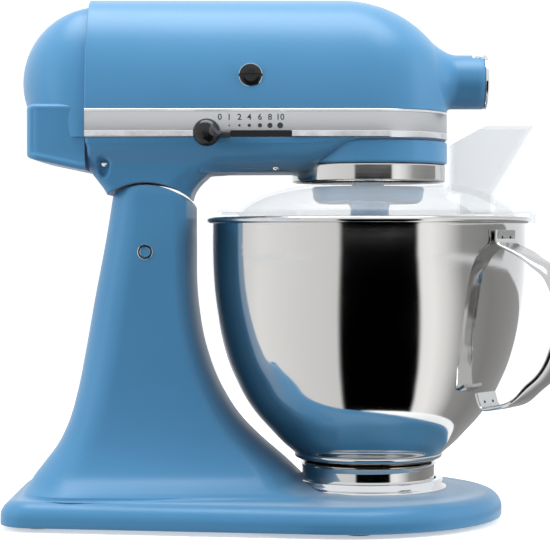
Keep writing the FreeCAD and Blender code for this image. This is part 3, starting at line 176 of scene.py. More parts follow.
def evaluated(thing, name):
    """Plain mesh of an object as its modifiers leave it."""
    bpy.context.view_layer.update()
    done = bpy.data.meshes.new_from_object(thing.evaluated_get(bpy.context.evaluated_depsgraph_get()))
    done.name = name
    return done


def smoothed(mesh, sharp=32):
    """The mesh shaded smooth, except where it turns by more than an angle."""
    mesh.shade_smooth()
    mesh.set_sharp_from_angle(angle=math.radians(sharp))
    return mesh


def plain_mesh(name, parts, materials, sharp=32):
    """One mesh in metres from several surfaces, welded, facing outwards, smooth except at sharp edges."""
    points, faces, marks = [], [], []
    for more, quads, mark in parts:
        faces += [tuple(k + len(points) for k in quad) for quad in quads]
        marks += [mark] * len(quads)
        points += more
    mesh = bpy.data.meshes.new(name)
    mesh.from_pydata([[c * 0.001 for c in p] for p in points], [], faces)
    mesh.polygons.foreach_set("material_index", marks)
    for material in materials:
        mesh.materials.append(material)
    clean = bmesh.new()
    clean.from_mesh(mesh)
    bmesh.ops.remove_doubles(clean, verts=clean.verts, dist=2e-6)
    bmesh.ops.dissolve_degenerate(clean, edges=clean.edges, dist=1e-6)
    bmesh.ops.recalc_face_normals(clean, faces=clean.faces)
    clean.to_mesh(mesh)
    clean.free()
    return smoothed(mesh, sharp)


def piece(name, body, mesh, slot, *nodes):
    """Show a mesh as a finished piece that rides a body and stands for CAD nodes."""
    shown = linked(name, mesh)
    if nodes:
        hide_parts(*nodes)
    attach(shown, body)
    return shown


def carved(mesh, tools, operation="DIFFERENCE"):
    """Cut closed surfaces out of a mesh, or join them to it."""
    body = linked("carving", mesh)
    cutter = linked("cutter", plain_mesh("cutter", tools, list(mesh.materials)[:1]))
    change = body.modifiers.new("cut", "BOOLEAN")
    change.object = cutter
    change.operation = operation
    change.solver = "EXACT"
    done = evaluated(body, mesh.name)
    bpy.data.objects.remove(body)
    bpy.data.objects.remove(cutter)
    return smoothed(done)


def block(x0, x1, y0, y1, z0, z1, edge=0.0, mark=0):
    """Box with chamfered edges."""
    nip = edge * 0.6

    def ring(grow, z):
        inset = edge - grow
        left, right, near, far = x0 + inset, x1 - inset, y0 + inset, y1 - inset
        return [(left + nip, near, z), (right - nip, near, z), (right, near + nip, z), (right, far - nip, z),
                (right - nip, far, z), (left + nip, far, z), (left, far - nip, z), (left, near + nip, z)]
    rings = [ring(0, z0), ring(edge, z0 + edge), ring(edge, z1 - edge), ring(0, z1)]
    middle = ((x0 + x1) / 2, (y0 + y1) / 2)
    return shell(rings, (*middle, z0), (*middle, z1), mark=mark)


def ease(t):
    """Smooth step from 0 to 1."""
    t = np.clip(t, 0, 1)
    return t * t * (3 - 2 * t)


def between(z, table):
    """Rows of numbers at heights z, on a smooth curve through a table of (height, numbers)."""
    table = np.asarray(table, float)
    knots, rows = table[:, 0], table[:, 1:]
    slopes = np.gradient(rows, knots, axis=0)
    z = np.clip(np.asarray(z, float), knots[0], knots[-1])
    i = np.clip(np.searchsorted(knots, z) - 1, 0, len(knots) - 2)
    step = knots[i + 1] - knots[i]
    t = ((z - knots[i]) / step)[..., None]
    step = step[..., None]
    return ((2 * t ** 3 - 3 * t ** 2 + 1) * rows[i] + (t ** 3 - 2 * t ** 2 + t) * step * slopes[i]
            + (3 * t ** 2 - 2 * t ** 3) * rows[i + 1] + (t ** 3 - t ** 2) * step * slopes[i + 1])


def reach(inside, angles, centre, far=400.0):
    """Distance from the centre to where a shape ends, in each direction."""
    low, high = np.zeros_like(angles), np.full_like(angles, far)
    for _ in range(34):
        mid = (low + high) / 2
        within = inside(centre[0] + mid * np.cos(angles), centre[1] + mid * np.sin(angles)) < 0
        low, high = np.where(within, mid, low), np.where(within, high, mid)
    return (low + high) / 2


def corner(a, b, radius):
    """Two walls met with a round corner; below zero is inside."""
    outside = np.hypot(np.maximum(a + radius, 0), np.maximum(b + radius, 0))
    return outside + np.minimum(np.maximum(a, b) + radius, 0) - radius


def soft_max(a, b, blend):
    """The larger of two lengths, eased over a blend where they meet."""
    gap = np.maximum(blend - np.abs(a - b), 0) / blend
    return np.maximum(a, b) + gap * gap * blend / 4


around = np.linspace(-math.pi, math.pi, 480, endpoint=False)
HINGE_X, HINGE_Z = -150.2, 181.8
# height, rear, front, half width, rear corner, bulge of the front face
COLUMN = [(20.5, -232, -16, 76, 40, 20), (23, -231, -31, 71, 38, 20), (26, -229, -40, 67, 36, 20.5),
          (32, -225.5, -47.5, 60.5, 32, 19.5), (40, -219.5, -56, 55.5, 30, 18),
          (52, -210.5, -70, 51, 28, 15.5), (66, -203.5, -84.5, 48.5, 26, 12), (88, -197, -99.5, 46.5, 25, 9),
          (116, -191.5, -110.5, 45.5, 25, 7.6), (150, -185.5, -116.5, 45, 24, 7),
          (190, -177.8, -117.5, 45, 22, 7), (232, -171, -117.5, 45, 20, 7)]


def column_reach(z, centre):
    """Column outline at heights z, as distances from a centre."""
    rear, front, half, turn, bulge = np.moveaxis(between(np.broadcast_to(z, around.shape), COLUMN), -1, 0)
    arc = (half ** 2 + bulge ** 2) / (2 * bulge)

    def inside(x, y):
        side = np.abs(y) - half
        face = np.hypot(x - (front - arc), y) - arc
        return np.maximum(corner(rear - x, side, turn), corner(face, side, 6.0))
    return reach(inside, around, centre)


def sole_reach(inset, centre):
    """Outline of the sole, a round front joined to a narrower square rear."""
    facing = np.linspace(-math.pi, math.pi, 721)[:, None]
    circles = ((-16.0, 0.0, 107.0), (-222.5, 56.0, 22.0), (-222.5, -56.0, 22.0))
    support = np.max([x * np.cos(facing) + y * np.sin(facing) + r for x, y, r in circles], axis=0) - inset

    def inside(x, y):
        return np.max(x * np.cos(facing) + y * np.sin(facing) - support, axis=0)
    return reach(inside, around, centre)


def ringed(radii, centre, z):
    """Ring of points from distances round a centre."""
    z = np.broadcast_to(z, around.shape)
    return np.stack([centre[0] + radii * np.cos(around), centre[1] + radii * np.sin(around), z], 1)


def crown(x, radius):
    """Height of the round joint between column and head."""
    return HINGE_Z + np.sqrt(np.maximum(radius ** 2 - (x - HINGE_X) ** 2, 1))


sole_centre = (-100.0, 0.0)
FOOT, EDGE, ROUND = 3.0, 19.5, 11.0
CROWN_R = 44.6
sole_edge = sole_reach(0.0, sole_centre)
column_foot = column_reach(20.5, sole_centre)
rings = []
for inset, z in ((9.6, 13.5), (9.2, 13.5), (9.0, 13.0), (9.0, 3.6), (8.6, FOOT), (1.2, FOOT), (0.35, 3.35),
                 (0.0, 4.2), (0.0, 6.0), (0.0, 8.0)):
    rings.append(ringed(sole_edge - inset, sole_centre, z))
held_in = np.minimum(column_foot, sole_reach(3.0, sole_centre))
for k in range(13):
    turn = math.radians(7.5 * k)
    inset, z = ROUND * (1 - math.cos(turn)), EDGE - ROUND * (1 - math.sin(turn))
    pushed = held_in - 1.6 * (12 - k)
    rings.append(ringed(soft_max(sole_reach(inset, sole_centre), pushed, 6.0), sole_centre, z))
edge_reach = soft_max(sole_reach(ROUND, sole_centre), held_in, 6.0)
inner_reach = column_reach(22.0, sole_centre)
for k in range(1, 41):
    f = k / 40
    radii = edge_reach * (1 - f) + np.minimum(inner_reach, edge_reach - 1.0) * f
    ring = ringed(radii, sole_centre, EDGE)
    seat = np.hypot(ring[:, 0], ring[:, 1])
    ring[:, 2] += 1.4 * ease((76 - seat) / 16) * ease((1 - f) * 6) + 2.5 * f ** 6
    rings.append(ring)
for z in np.concatenate([np.linspace(22.6, 40, 16), np.linspace(43, 190, 38)]):
    middle = (-100.0 - 48.0 * float(ease((z - 20) / 60)), 0.0)
    rings.append(ringed(column_reach(z, middle), middle, z))
column_centre = (-148.0, 0.0)
top = ringed(column_reach(212.0, column_centre), column_centre, 0.0)
for k in range(1, 9):
    z = 190 + (crown(top[:, 0], CROWN_R) - 1.2 - 190) * k / 8
    rings.append(ringed(column_reach(z, column_centre), column_centre, z))
crown_reach = column_reach(crown(top[:, 0], CROWN_R), column_centre)
for inset, drop in ((0.35, 0.35), (1.2, 0.0)):
    ring = ringed(crown_reach - inset, column_centre, 0.0)
    ring[:, 2] = crown(ring[:, 0], CROWN_R) - drop
    rings.append(ring)
for f in (0.9, 0.75, 0.55, 0.35, 0.15):
    ring = ringed((crown_reach - 1.2) * f, column_centre, 0.0)
    ring[:, 2] = crown(ring[:, 0], CROWN_R)
    rings.append(ring)
base_shell = shell(rings, (*sole_centre, 13.5), (*column_centre, 226.7))

# Satin enamel over a metal flake ground: even mid blue, broad soft highlights, and a very fine
# orange-peel relief that keeps the reflections from being sharp.
enamel, tree, shader, place = surface("blue_enamel", "#4283AE", Roughness=0.36, IOR=1.5, Sheen_Weight=0.3,
                                     Sheen_Roughness=0.45)
grain(tree, shader, place, "Base Color", (60.0, 2.0), "#3F80AB", "#4586B1")
grain(tree, shader, place, "Roughness", (1.6, 3.0), 0.33, 0.4)
grain(tree, shader, place, "Normal", (0.7, 3.0), 0, 0.02)

FOOT_PLACES = [(0.0, 0.0), (-219.0, 50.0), (-219.0, -50.0), (-10.0, 80.0), (-10.0, -80.0), (66.0, 0.0)]
post_profile = [(0, 13.6), (13.5, 13.6), (13.5, 3.6), (13.0, 3.1), (11.2, 3.1), (11.1, 3.4), (11.1, 4.9),
                (0, 4.9)]
posts = [lathe(post_profile, 48, at=(x, y, 0)) for x, y in FOOT_PLACES]
base_mesh = plain_mesh("base_casting", [base_shell] + posts, [enamel])
piece("base_casting", "base", base_mesh, "painted_casting", "pedestal")

# ---------------------------------------------------------------- rubber feet
# Six soft rubber pads pressed into cups under the base, each with a grip ring moulded in its face.


def scattered(name, source, spots, material):
    """Copies of a mesh at spots of (place, turn, size), which a geometry node tree makes one plain mesh."""
    cloud = bpy.data.meshes.new(f"{name}_spots")
    cloud.from_pydata([[c * 0.001 for c in place] for place, _, _ in spots], [], [])
    turns = cloud.attributes.new("turn", "FLOAT_VECTOR", "POINT")
    turns.data.foreach_set("vector", [c for _, turn, _ in spots for c in turn])
    sizes = cloud.attributes.new("size", "FLOAT", "POINT")
    sizes.data.foreach_set("value", [size for _, _, size in spots])
    holder = linked(f"{name}_cloud", cloud)
    copied = linked(f"{name}_source", source)
    tree = bpy.data.node_groups.new(f"{name}_tree", "GeometryNodeTree")
    tree.interface.new_socket("Geometry", in_out="INPUT", socket_type="NodeSocketGeometry")
    wanted = tree.interface.new_socket("Item", in_out="INPUT", socket_type="NodeSocketObject")
    finish = tree.interface.new_socket("Finish", in_out="INPUT", socket_type="NodeSocketMaterial")
    tree.interface.new_socket("Geometry", in_out="OUTPUT", socket_type="NodeSocketGeometry")
    given = add(tree, "NodeGroupInput")
    item = add(tree, "GeometryNodeObjectInfo", {"Object": given.outputs["Item"]})
    turn = add(tree, "GeometryNodeInputNamedAttribute", {"Name": "turn"}, data_type="FLOAT_VECTOR")
    size = add(tree, "GeometryNodeInputNamedAttribute", {"Name": "size"}, data_type="FLOAT")
    turned = add(tree, "FunctionNodeEulerToRotation", {0: turn.outputs[0]})
    points = add(tree, "GeometryNodeMeshToPoints", {"Mesh": given.outputs["Geometry"]})
    copies = add(tree, "GeometryNodeInstanceOnPoints",
                 {"Points": points.outputs[0], "Instance": item.outputs["Geometry"],
                  "Rotation": turned.outputs[0], "Scale": size.outputs[0]})
    real = add(tree, "GeometryNodeRealizeInstances", {0: copies.outputs[0]})
    painted = add(tree, "GeometryNodeSetMaterial",
                  {"Geometry": real.outputs[0], "Material": given.outputs["Finish"]})
    add(tree, "NodeGroupOutput", {0: painted.outputs[0]})
    change = holder.modifiers.new("copies", "NODES")
    change.node_group = tree
    change[wanted.identifier] = copied
    change[finish.identifier] = material
    done = evaluated(holder, name)
    holder.modifiers.remove(change)
    bpy.data.objects.remove(holder)
    bpy.data.objects.remove(copied)
    return smoothed(done)


# Moulded rubber: near black, dull, with a fine moulding texture.
rubber, tree, shader, place = surface("dark_rubber", "#232323", Roughness=0.78)
grain(tree, shader, place, "Base Color", (3.0, 3.0), "#1D1D1D", "#2B2B2A")
grain(tree, shader, place, "Normal", (0.5, 3.0), 0, 0.04)
pad_profile = [(0, 0.5), (6.4, 0.5), (7.0, 0.0), (9.8, 0.0), (10.6, 0.5), (10.9, 1.4), (10.9, 4.8), (0, 4.8)]
pad = plain_mesh("pad", [lathe(pad_profile, 64)], [rubber])
feet = scattered("rubber_pads", pad, [((x, y, 0), (0, 0, 0), 1.0) for x, y in FOOT_PLACES], rubber)
piece("rubber_pads", "base", feet, "dark_rubber", "rubber_feet")

# ---------------------------------------------------------------- hinge pin
# Steel pin that the head tilts on, plated bright, with a socket in each end; a black disc near the floor of
# each socket is painted shade.

# Bright plating: a clean mirror with faint handling marks.
chrome, tree, shader, place = surface("chrome", "#E4E5E7", Metallic=1.0, Roughness=0.06)
grain(tree, shader, place, "Roughness", (14.0, 4.0), 0.04, 0.1)
grain(tree, shader, place, "Base Color", (40.0, 2.0), "#DEDFE2", "#EAEBEC")
grain(tree, shader, place, "Normal", (2.5, 2.0), 0, 0.003)
# Black moulded plastic, glossy, with a slight unevenness in its skin.
black, tree, shader, place = surface("black_plastic", "#101012", Roughness=0.2, IOR=1.5)
grain(tree, shader, place, "Roughness", (5.0, 3.0), 0.14, 0.26)
grain(tree, shader, place, "Normal", (1.2, 2.0), 0, 0.006)
pin_profile = [(0, -41.8), (3.2, -41.8), (3.2, -45.2), (3.6, -45.6), (4.7, -45.6), (5.1, -45.2), (5.1, 45.2),
               (4.7, 45.6), (3.6, 45.6), (3.2, 45.2), (3.2, 41.8), (0, 41.8)]
pin_at = (HINGE_X, 0, HINGE_Z)
pin = lathe(pin_profile, 64, "Y", pin_at)
# Black discs set inside the end sockets: painted shade in the sockets.
socket_shade_discs = []
for bottom in (-42.0, 42.0):
    back = bottom + math.copysign(1.0, bottom)
    socket_shade_discs.append(lathe([(0, bottom), (3.15, bottom), (3.15, back), (0, back)], 32, "Y", pin_at, 1))
pin_mesh = plain_mesh("pivot_pin", [pin] + socket_shade_discs, [chrome, black])
piece("pivot_pin", "base", pin_mesh, "chrome_trim", "hinge_pin")

# ---------------------------------------------------------------- bowl clamp plate
# Plated steel dish screwed to the base. Its turned-in lip holds the lugs of the bowl's foot.

plate_profile = [(0, 20.0), (53.2, 20.0), (53.8, 20.6), (53.8, 21.6), (53.0, 22.6), (51.9, 23.4),
                 (51.5, 25.2), (51.2, 26.8), (50.6, 27.5), (49.9, 27.6), (46.9, 27.6), (46.5, 27.2),
                 (46.5, 26.5), (46.9, 26.1), (49.0, 26.0), (49.5, 25.4), (49.6, 22.8), (48.6, 21.9),
                 (47.0, 21.8), (30, 21.7), (12, 22.1), (0, 22.2)]
plate = plain_mesh("clamp_dish", [lathe(plate_profile, 160)], [chrome], 50)
piece("clamp_dish", "base", plate, "chrome_trim", "bowl_clamp_plate")

# ---------------------------------------------------------------- upper head casting
# Upper half of the motor head: an arched shell with a round nose and the attachment hub in front.
# Die cast and enamelled with the base.


def arch_half(z):
    """Half width of the head at a height."""
    return 56.0 * np.maximum(1 - np.clip((z - 267.0) / 86.5, 0, 1) ** 2.6, 0) ** 0.4545


def nose_reach(z):
    """How far forward the head comes at a height."""
    ball = -18.0 + np.sqrt(np.maximum(81.0 ** 2 - np.maximum(z - 272.5, 0) ** 2, 1))
    gap = np.maximum(8.0 - np.abs(ball - 54.0), 0) / 8.0
    return np.minimum(ball, 54.0) - gap * gap * 2.0


def even(points, count):
    """Resample a line of points at equal steps along its length."""
    points = np.asarray(points, float)
    run = np.concatenate([[0], np.cumsum(np.linalg.norm(np.diff(points, axis=0), axis=1))])
    wanted = np.linspace(0, run[-1], count)
    return np.stack([np.interp(wanted, run, points[:, k]) for k in range(points.shape[1])], 1)


def bullet(rear, nose, half, z, lip=1.0, side=60, front=48):
    """Level ring from the middle of its square rear, with straight sides and a half-round nose."""
    half = max(half, 0.4)
    lip = min(lip, half * 0.5)
    x0 = nose - half
    run = [(rear, -half * t) for t in np.linspace(0, 1, 8, endpoint=False) * (half - lip) / half]
    run += [(rear + lip - lip * math.cos(a), -(half - lip + lip * math.sin(a)))
            for a in np.linspace(0, math.pi / 2, 5)]
    run += [(x, -half) for x in np.linspace(rear + lip, x0, side)[1:]]
    run += [(x0 + half * math.sin(a), -half * math.cos(a)) for a in np.linspace(0, math.pi / 2, front)[1:]]
    run += [(x, -y) for x, y in run[-2:0:-1]]
    return np.array([(x, y, z) for x, y in run])


JOINT_X, HUB_Z = -189.5, 297.9
heights = np.concatenate([np.linspace(276.9, 340, 200), 353.5 - 13.5 * np.linspace(1, 0, 400) ** 3])
section = even(np.stack([arch_half(heights), heights], 1), 44)
rings = [bullet(JOINT_X, 52.4, 54.4, z) for z in (268.0, 276.3)] + [bullet(JOINT_X, 53.5, 55.5, 276.5)]
rings += [bullet(JOINT_X, nose_reach(z), arch_half(z), z) for _, z in section[:-1]]
upper = shell(rings, "zip", "zip")


def nose_surface(y, z):
    """How far forward the nose's face is at a side and height."""
    half = arch_half(z)
    return nose_reach(z) - half + np.sqrt(np.maximum(half ** 2 - y ** 2, 1))


spin = np.linspace(0, 2 * math.pi, 96, endpoint=False)
flare = 11.5 - 8.7 * np.clip(-np.sin(spin), 0, 1) ** 1.5
rings = []
for k in range(15):
    turn = math.pi / 2 * k / 14
    radii = 18.5 + flare * (1 - math.sin(turn))
    y, z = radii * np.cos(spin), HUB_Z + radii * np.sin(spin)
    x = nose_surface(y, z) - 0.25 * (1 - k / 14) + flare * (1 - math.cos(turn))
    rings.append(np.stack([x, y, z], 1))
y, z = np.cos(spin), np.sin(spin)
for x, radius in ((74.0, 18.5), (78.2, 18.5), (78.8, 18.2), (79.0, 17.7), (79.0, 12.4), (78.6, 11.8),
                  (77.8, 11.6), (43.5, 11.6), (43.4, 11.4), (43.4, 7.5), (22.0, 7.5)):
    rings.append(np.stack([np.full_like(y, x), radius * y, HUB_Z + radius * z], 1))
inner = np.stack([np.full_like(y, 20.0), 30 * y, HUB_Z + 20 * z - 2], 1)
hub = shell([inner] + rings, (20.0, 0, HUB_Z - 2), (22.0, 0, HUB_Z))
lug_notch = block(71.0, 82.0, -9.4, 9.4, 309.4, 321.0)
head_mesh = carved(plain_mesh("head_upper", [upper, hub], [enamel], 40), [lug_notch])
piece("head_upper", "head", head_mesh, "painted_casting", "motor_housing")

# ---------------------------------------------------------------- rear cover
# Domed end cap of the motor head with a square foot below it, screwed on from behind.

CAP_X, CAP_Z, CAP_R = -184.5, 296.9, 51.8
CAP_FRONT = -189.8


def cap_ring(z, tip, half):
    """Level ring of the cap: square at the joint, half an ellipse behind."""
    depth = CAP_FRONT - tip
    bow = min(half, depth * 0.92)
    run = [(CAP_FRONT, -half * t) for t in np.linspace(0, 1, 10, endpoint=False)]
    run += [(x, -half) for x in np.linspace(CAP_FRONT, tip + bow, 6, endpoint=False)]
    run += [(tip + bow - bow * math.sin(a), -half * math.cos(a)) for a in np.linspace(0, math.pi / 2, 44)]
    run += [(x, -y) for x, y in run[-2:0:-1]]
    return np.array([(x, y, z) for x, y in run])


heights = np.concatenate([np.linspace(258, 340, 160), 348.35 - 8.35 * np.linspace(1, 0, 300) ** 2.5])
tips = CAP_X - np.sqrt(np.maximum(CAP_R ** 2 - (heights - CAP_Z) ** 2, 5.4 ** 2))
halves = 53.0 * np.maximum(1 - np.clip((heights - 242.0) / 107.1, 0, 1) ** 2.6, 0) ** 0.4545
section = even(np.stack([halves, heights, tips], 1), 48)
dome = shell([cap_ring(z, tip, half) for half, z, tip in section], "zip", "zip")


def box_floor(x):
    """Height of the slanted underside of the cap's foot."""
    return np.interp(x, [-228.8, -222.0, -192.4], [244.4, 242.6, 236.3])


def foot_ring(level, inset):
    """Ring round the cap's foot, at a share of its height."""
    rear, front, half, round_r = -228.8 + inset, CAP_FRONT, 52.0 - inset, max(9.0 - inset, 2.0)
    run = [(front, -half * t) for t in np.linspace(0, 1, 14, endpoint=False)]
    run += [(x, -half) for x in np.linspace(front, rear + round_r, 40, endpoint=False)]
    run += [(rear + round_r - round_r * math.sin(a), -(half - round_r) - round_r * math.cos(a))
            for a in np.linspace(0, math.pi / 2, 16)]
    run += [(rear, -(half - round_r) * t) for t in np.linspace(1, 0, 20)[1:]]
    run += [(x, -y) for x, y in run[-2:0:-1]]
    ring = []
    for x, y in run:
        low = box_floor(x)
        z = low + (280.0 - low) * level
        edge = min(x - rear, z - low)
        dent = 0.9 * float(ease((edge - 3.2) / 1.6) * ease((abs(y) - 44) / 3) * ease((279 - z) / 3))
        ring.append((x, y - math.copysign(dent, y), z))
    return np.array(ring)


rings = [foot_ring(0.0, 4.0 - 3.2 * math.sin(a)) for a in (0.0, 0.45)]
rings += [foot_ring(level, inset) for level, inset in ((0.012, 0.9), (0.03, 0.35), (0.055, 0.05))]
rings += [foot_ring(level, 0.0) for level in np.linspace(0.08, 0.9, 34)]
rings += [foot_ring(0.9 + 0.1 * math.sin(a), 5.0 * (1 - math.cos(a)))
          for a in np.linspace(0.2, math.pi / 2, 6)]
foot = shell(rings, "zip", "zip")
piece("rear_cap", "head", plain_mesh("rear_cap", [dome, foot], [enamel], 38), "painted_casting", "rear_cover")

# ---------------------------------------------------------------- lower head casting
# Lower half of the head: gearcase tray with rolled edges, the neck that meets the column, and the round
# nose over the planetary. Screw heads sit in tear-shaped recesses behind the neck.

BAND_LOW, BAND_HALF, NOSE_X = 257.5, 56.0, -2.0
NECK_R = 46.2
NECK = [(205, -174.0, -121.0, 45, 14), (216, -174.6, -120.8, 45, 14), (223, -177.6, -118.6, 45.2, 14),
        (229, -182.0, -114.0, 45.8, 14), (235, -186.4, -106.5, 46.8, 14), (240, -188.6, -97.0, 47.8, 14),
        (245, -189.4, -88.0, 49, 14), (250, -189.4, -84.0, 51, 12), (256, -189.4, -76.0, 53, 8)]
BELLY = [(228, 44), (234.8, 40.0), (236.2, 26.0), (239.5, 13.5), (244, 6.6), (249, 2.7), (253.4, 1.0),
         (258, 0.35)]
neck_centre = (-140.0, 0.0)


def neck_reach(z):
    """Neck outline at a height."""
    rear, front, half, turn = np.moveaxis(between(np.broadcast_to(z, around.shape), NECK), -1, 0)

    def inside(x, y):
        return corner(corner(rear - x, np.abs(y) - half, 8.0), x - front, 20.0)
    return reach(inside, around, neck_centre)


def belly_reach(inset):
    """Tray outline, drawn in by an inset."""
    inset = np.broadcast_to(inset, around.shape)

    def inside(x, y):
        wall = np.hypot(np.maximum(x - NOSE_X, 0), y) - (BAND_HALF - inset)
        return corner(wall, JOINT_X + np.minimum(inset, 2.0) - x, 1.5)
    return reach(inside, around, neck_centre)


def depth_share(x):
    """How much of the belly's depth is left towards the nose."""
    return np.interp(x, [-49.5, -42, -34, -26, -19, -12, -5], [1.0, 0.95, 0.85, 0.657, 0.36, 0.16, 0.10])


TEAR_X, TEAR_Z = -177.4, 240.6
rings = [ringed(belly_reach(1.6), neck_centre, z) for z in (266.9, 257.8)]
for z in np.concatenate([np.linspace(257.4, 253.8, 4), [253.5, 253.2, 252.9], np.linspace(251.8, 238.4, 14)]):
    inset = float(between([z], BELLY)[0][0]) + (0.35 if 253.3 > z else 0.0)
    radii = soft_max(belly_reach(inset), neck_reach(min(z, 256)), 5.0)
    ring = ringed(radii, neck_centre, z)
    ring[:, 2] = BAND_LOW - (BAND_LOW - z) * depth_share(ring[:, 0])
    rings.append(ring)
last = np.hypot(rings[-1][:, 0] - neck_centre[0], rings[-1][:, 1])
goal = neck_reach(233.0)
for k in range(1, 15):
    f = k / 14
    radii = last * (1 - f) + goal * f
    ring = ringed(radii, neck_centre, 0)
    gone = np.clip((last - radii) / np.maximum(last - goal, 3.0), 0, 1)
    level = 238.4 - 3.4 * (1 - (1 - np.minimum(gone * 2.2, 1)) ** 2) - 1.6 * ease((gone - 0.8) / 0.2)
    shrink = np.where(last - goal < 6, 238.4 - 5.4 * f, level)
    ring[:, 2] = BAND_LOW - (BAND_LOW - shrink) * depth_share(ring[:, 0])
    rings.append(ring)
top = ringed(neck_reach(222.0), neck_centre, 0.0)
arc = crown(top[:, 0], NECK_R)
for k in range(1, 15):
    z = 233.0 + (arc + 0.6 - 233.0) * k / 14
    rings.append(ringed(neck_reach(np.minimum(z, 233.0)), neck_centre, z))
for inset in (0.5, 1.5):
    ring = ringed(neck_reach(np.minimum(arc, 232.0)) - inset, neck_centre, 0)
    ring[:, 2] = crown(ring[:, 0], NECK_R) + (0.1 if inset < 1 else 0)
    rings.append(ring)
for f in (0.85, 0.6, 0.35):
    ring = ringed((neck_reach(np.minimum(arc, 232.0)) - 1.5) * f, neck_centre, 0)
    ring[:, 2] = crown(ring[:, 0], NECK_R)
    rings.append(ring)
rings = np.array(rings)
flat = rings.reshape(-1, 3)
away = np.hypot(flat[:, 0] - TEAR_X, (flat[:, 2] - TEAR_Z) * np.where(flat[:, 2] < TEAR_Z, 0.45, 1.0))
dent = 4.2 * ease((5.0 - away) / 2.4) * (np.abs(flat[:, 1]) > 30)
flat[:, 1] -= np.sign(flat[:, 1]) * dent
belly = shell(rings, (neck_centre[0], 0, 260.0), (neck_centre[0], 0, float(crown(neck_centre[0], NECK_R))))
nose_profile = [(0, 256.4), (52.0, 256.4), (53.5, 256.0), (54.0, 255.0), (54.0, 242.6), (53.6, 241.7),
                (52.8, 241.3), (44, 241.2), (0, 241.2)]
lower_mesh = plain_mesh("head_lower", [belly, lathe(nose_profile, 160)], [enamel], 40)
piece("head_lower", "head", lower_mesh, "painted_casting", "lower_gearcase")

# Screw heads in the recesses: bright, pan shaped, with a slot.
screw_profile = [(0, 1.5), (1.6, 1.45), (2.6, 1.1), (3.1, 0.4), (3.2, -0.6), (1.4, -0.7), (1.4, -3.0),
                 (0, -3.0)]
screw_slot = block(-4, 4, -0.45, 0.45, 0.8, 3)
screw = carved(plain_mesh("case_screw", [lathe(screw_profile, 48)], [chrome]), [screw_slot])
spots = [((TEAR_X, side * 43.6, TEAR_Z + 0.6), (math.radians(-side * 60), 0, 0), 1.0) for side in (-1, 1)]
spots += [((-63.5, side * 37.0, 237.2), (math.radians(180 + side * 20), 0, 0), 0.8) for side in (-1, 1)]
piece("case_screws", "head", scattered("case_screws", screw, spots, chrome), "zinc_screw")

# ---------------------------------------------------------------- trim band
# Strip wrapped round the joint of the two head castings: brushed face, bright bead above and
# polished strip below, with a slot for the speed lever, backed by a black strip that is painted shade. The
# speed scale is printed on the near side.

SLOT_REAR, SLOT_FRONT = -98.0, -52.7


def side_path(start, end, side, steps):
    """Points and outward directions along a straight side of the band."""
    return [((x, side * BAND_HALF), (0.0, float(side))) for x in np.linspace(start, end, steps)]


def wrapped_path(rear):
    """Points and outward directions along the band, from the near rear round the nose to the far rear."""
    turn = [((NOSE_X + BAND_HALF * math.sin(a), -BAND_HALF * math.cos(a)), (math.sin(a), -math.cos(a)))
            for a in np.linspace(0, math.pi, 97)[1:-1]]
    return side_path(rear, NOSE_X, -1, 60) + turn + side_path(NOSE_X, JOINT_X, 1, 60)


def strip(path, profile, mark):
    """Closed section of (outward, height) points run along a path, with closed ends."""
    rings = [[(p[0] + n[0] * out, p[1] + n[1] * out, z) for out, z in profile] for p, n in path]
    ends = [tuple(np.mean(rings[k], axis=0)) for k in (0, -1)]
    return shell(rings, *ends, mark=mark)


face_profile = [(-1.3, 276.2), (-0.1, 276.2), (0.0, 276.0), (0.0, 262.1), (-0.3, 261.9), (-1.3, 261.9)]
top_profile = [(-1.3, 276.45), (0.0, 276.45), (0.2, 276.35), (0.3, 276.2), (0.3, 274.9), (0.2, 274.75),
               (-1.3, 274.7)]
low_profile = [(-1.4, 257.65), (0.2, 257.65), (0.4, 257.75), (0.5, 257.95), (0.5, 258.2), (0.5, 261.5),
               (0.5, 261.8), (0.4, 262.0), (0.2, 262.1), (-1.4, 262.1)]
# Black strip set back in the slot: painted shade of the opening behind it.
slot_shade_profile = [(-1.5, 257.8), (-0.9, 257.8), (-0.9, 261.8), (-1.5, 261.8)]
band_parts = [strip(wrapped_path(JOINT_X), face_profile, 0), strip(wrapped_path(JOINT_X), top_profile, 1),
              strip(side_path(JOINT_X, SLOT_REAR, -1, 50), low_profile, 1),
              strip(wrapped_path(SLOT_FRONT), low_profile, 1),
              strip(side_path(SLOT_REAR - 0.5, SLOT_FRONT + 0.5, -1, 50), slot_shade_profile, 2)]
# Brushed aluminium: light grey with fine level scratches and a broad sheen.
brushed, tree, shader, place = surface("brushed_aluminium", "#CACBCC", Metallic=1.0, Roughness=0.34)
scratches = (0.25, 3.0, (60, 60, 1))
grain(tree, shader, place, "Roughness", scratches, 0.3, 0.46)
grain(tree, shader, place, "Base Color", scratches, "#C3C4C5", "#D2D2D3")
grain(tree, shader, place, "Normal", scratches, 0, 0.01)
band = plain_mesh("head_band", band_parts, [brushed, chrome, black])
piece("head_band", "head", band, "brushed_trim", "trim_band")

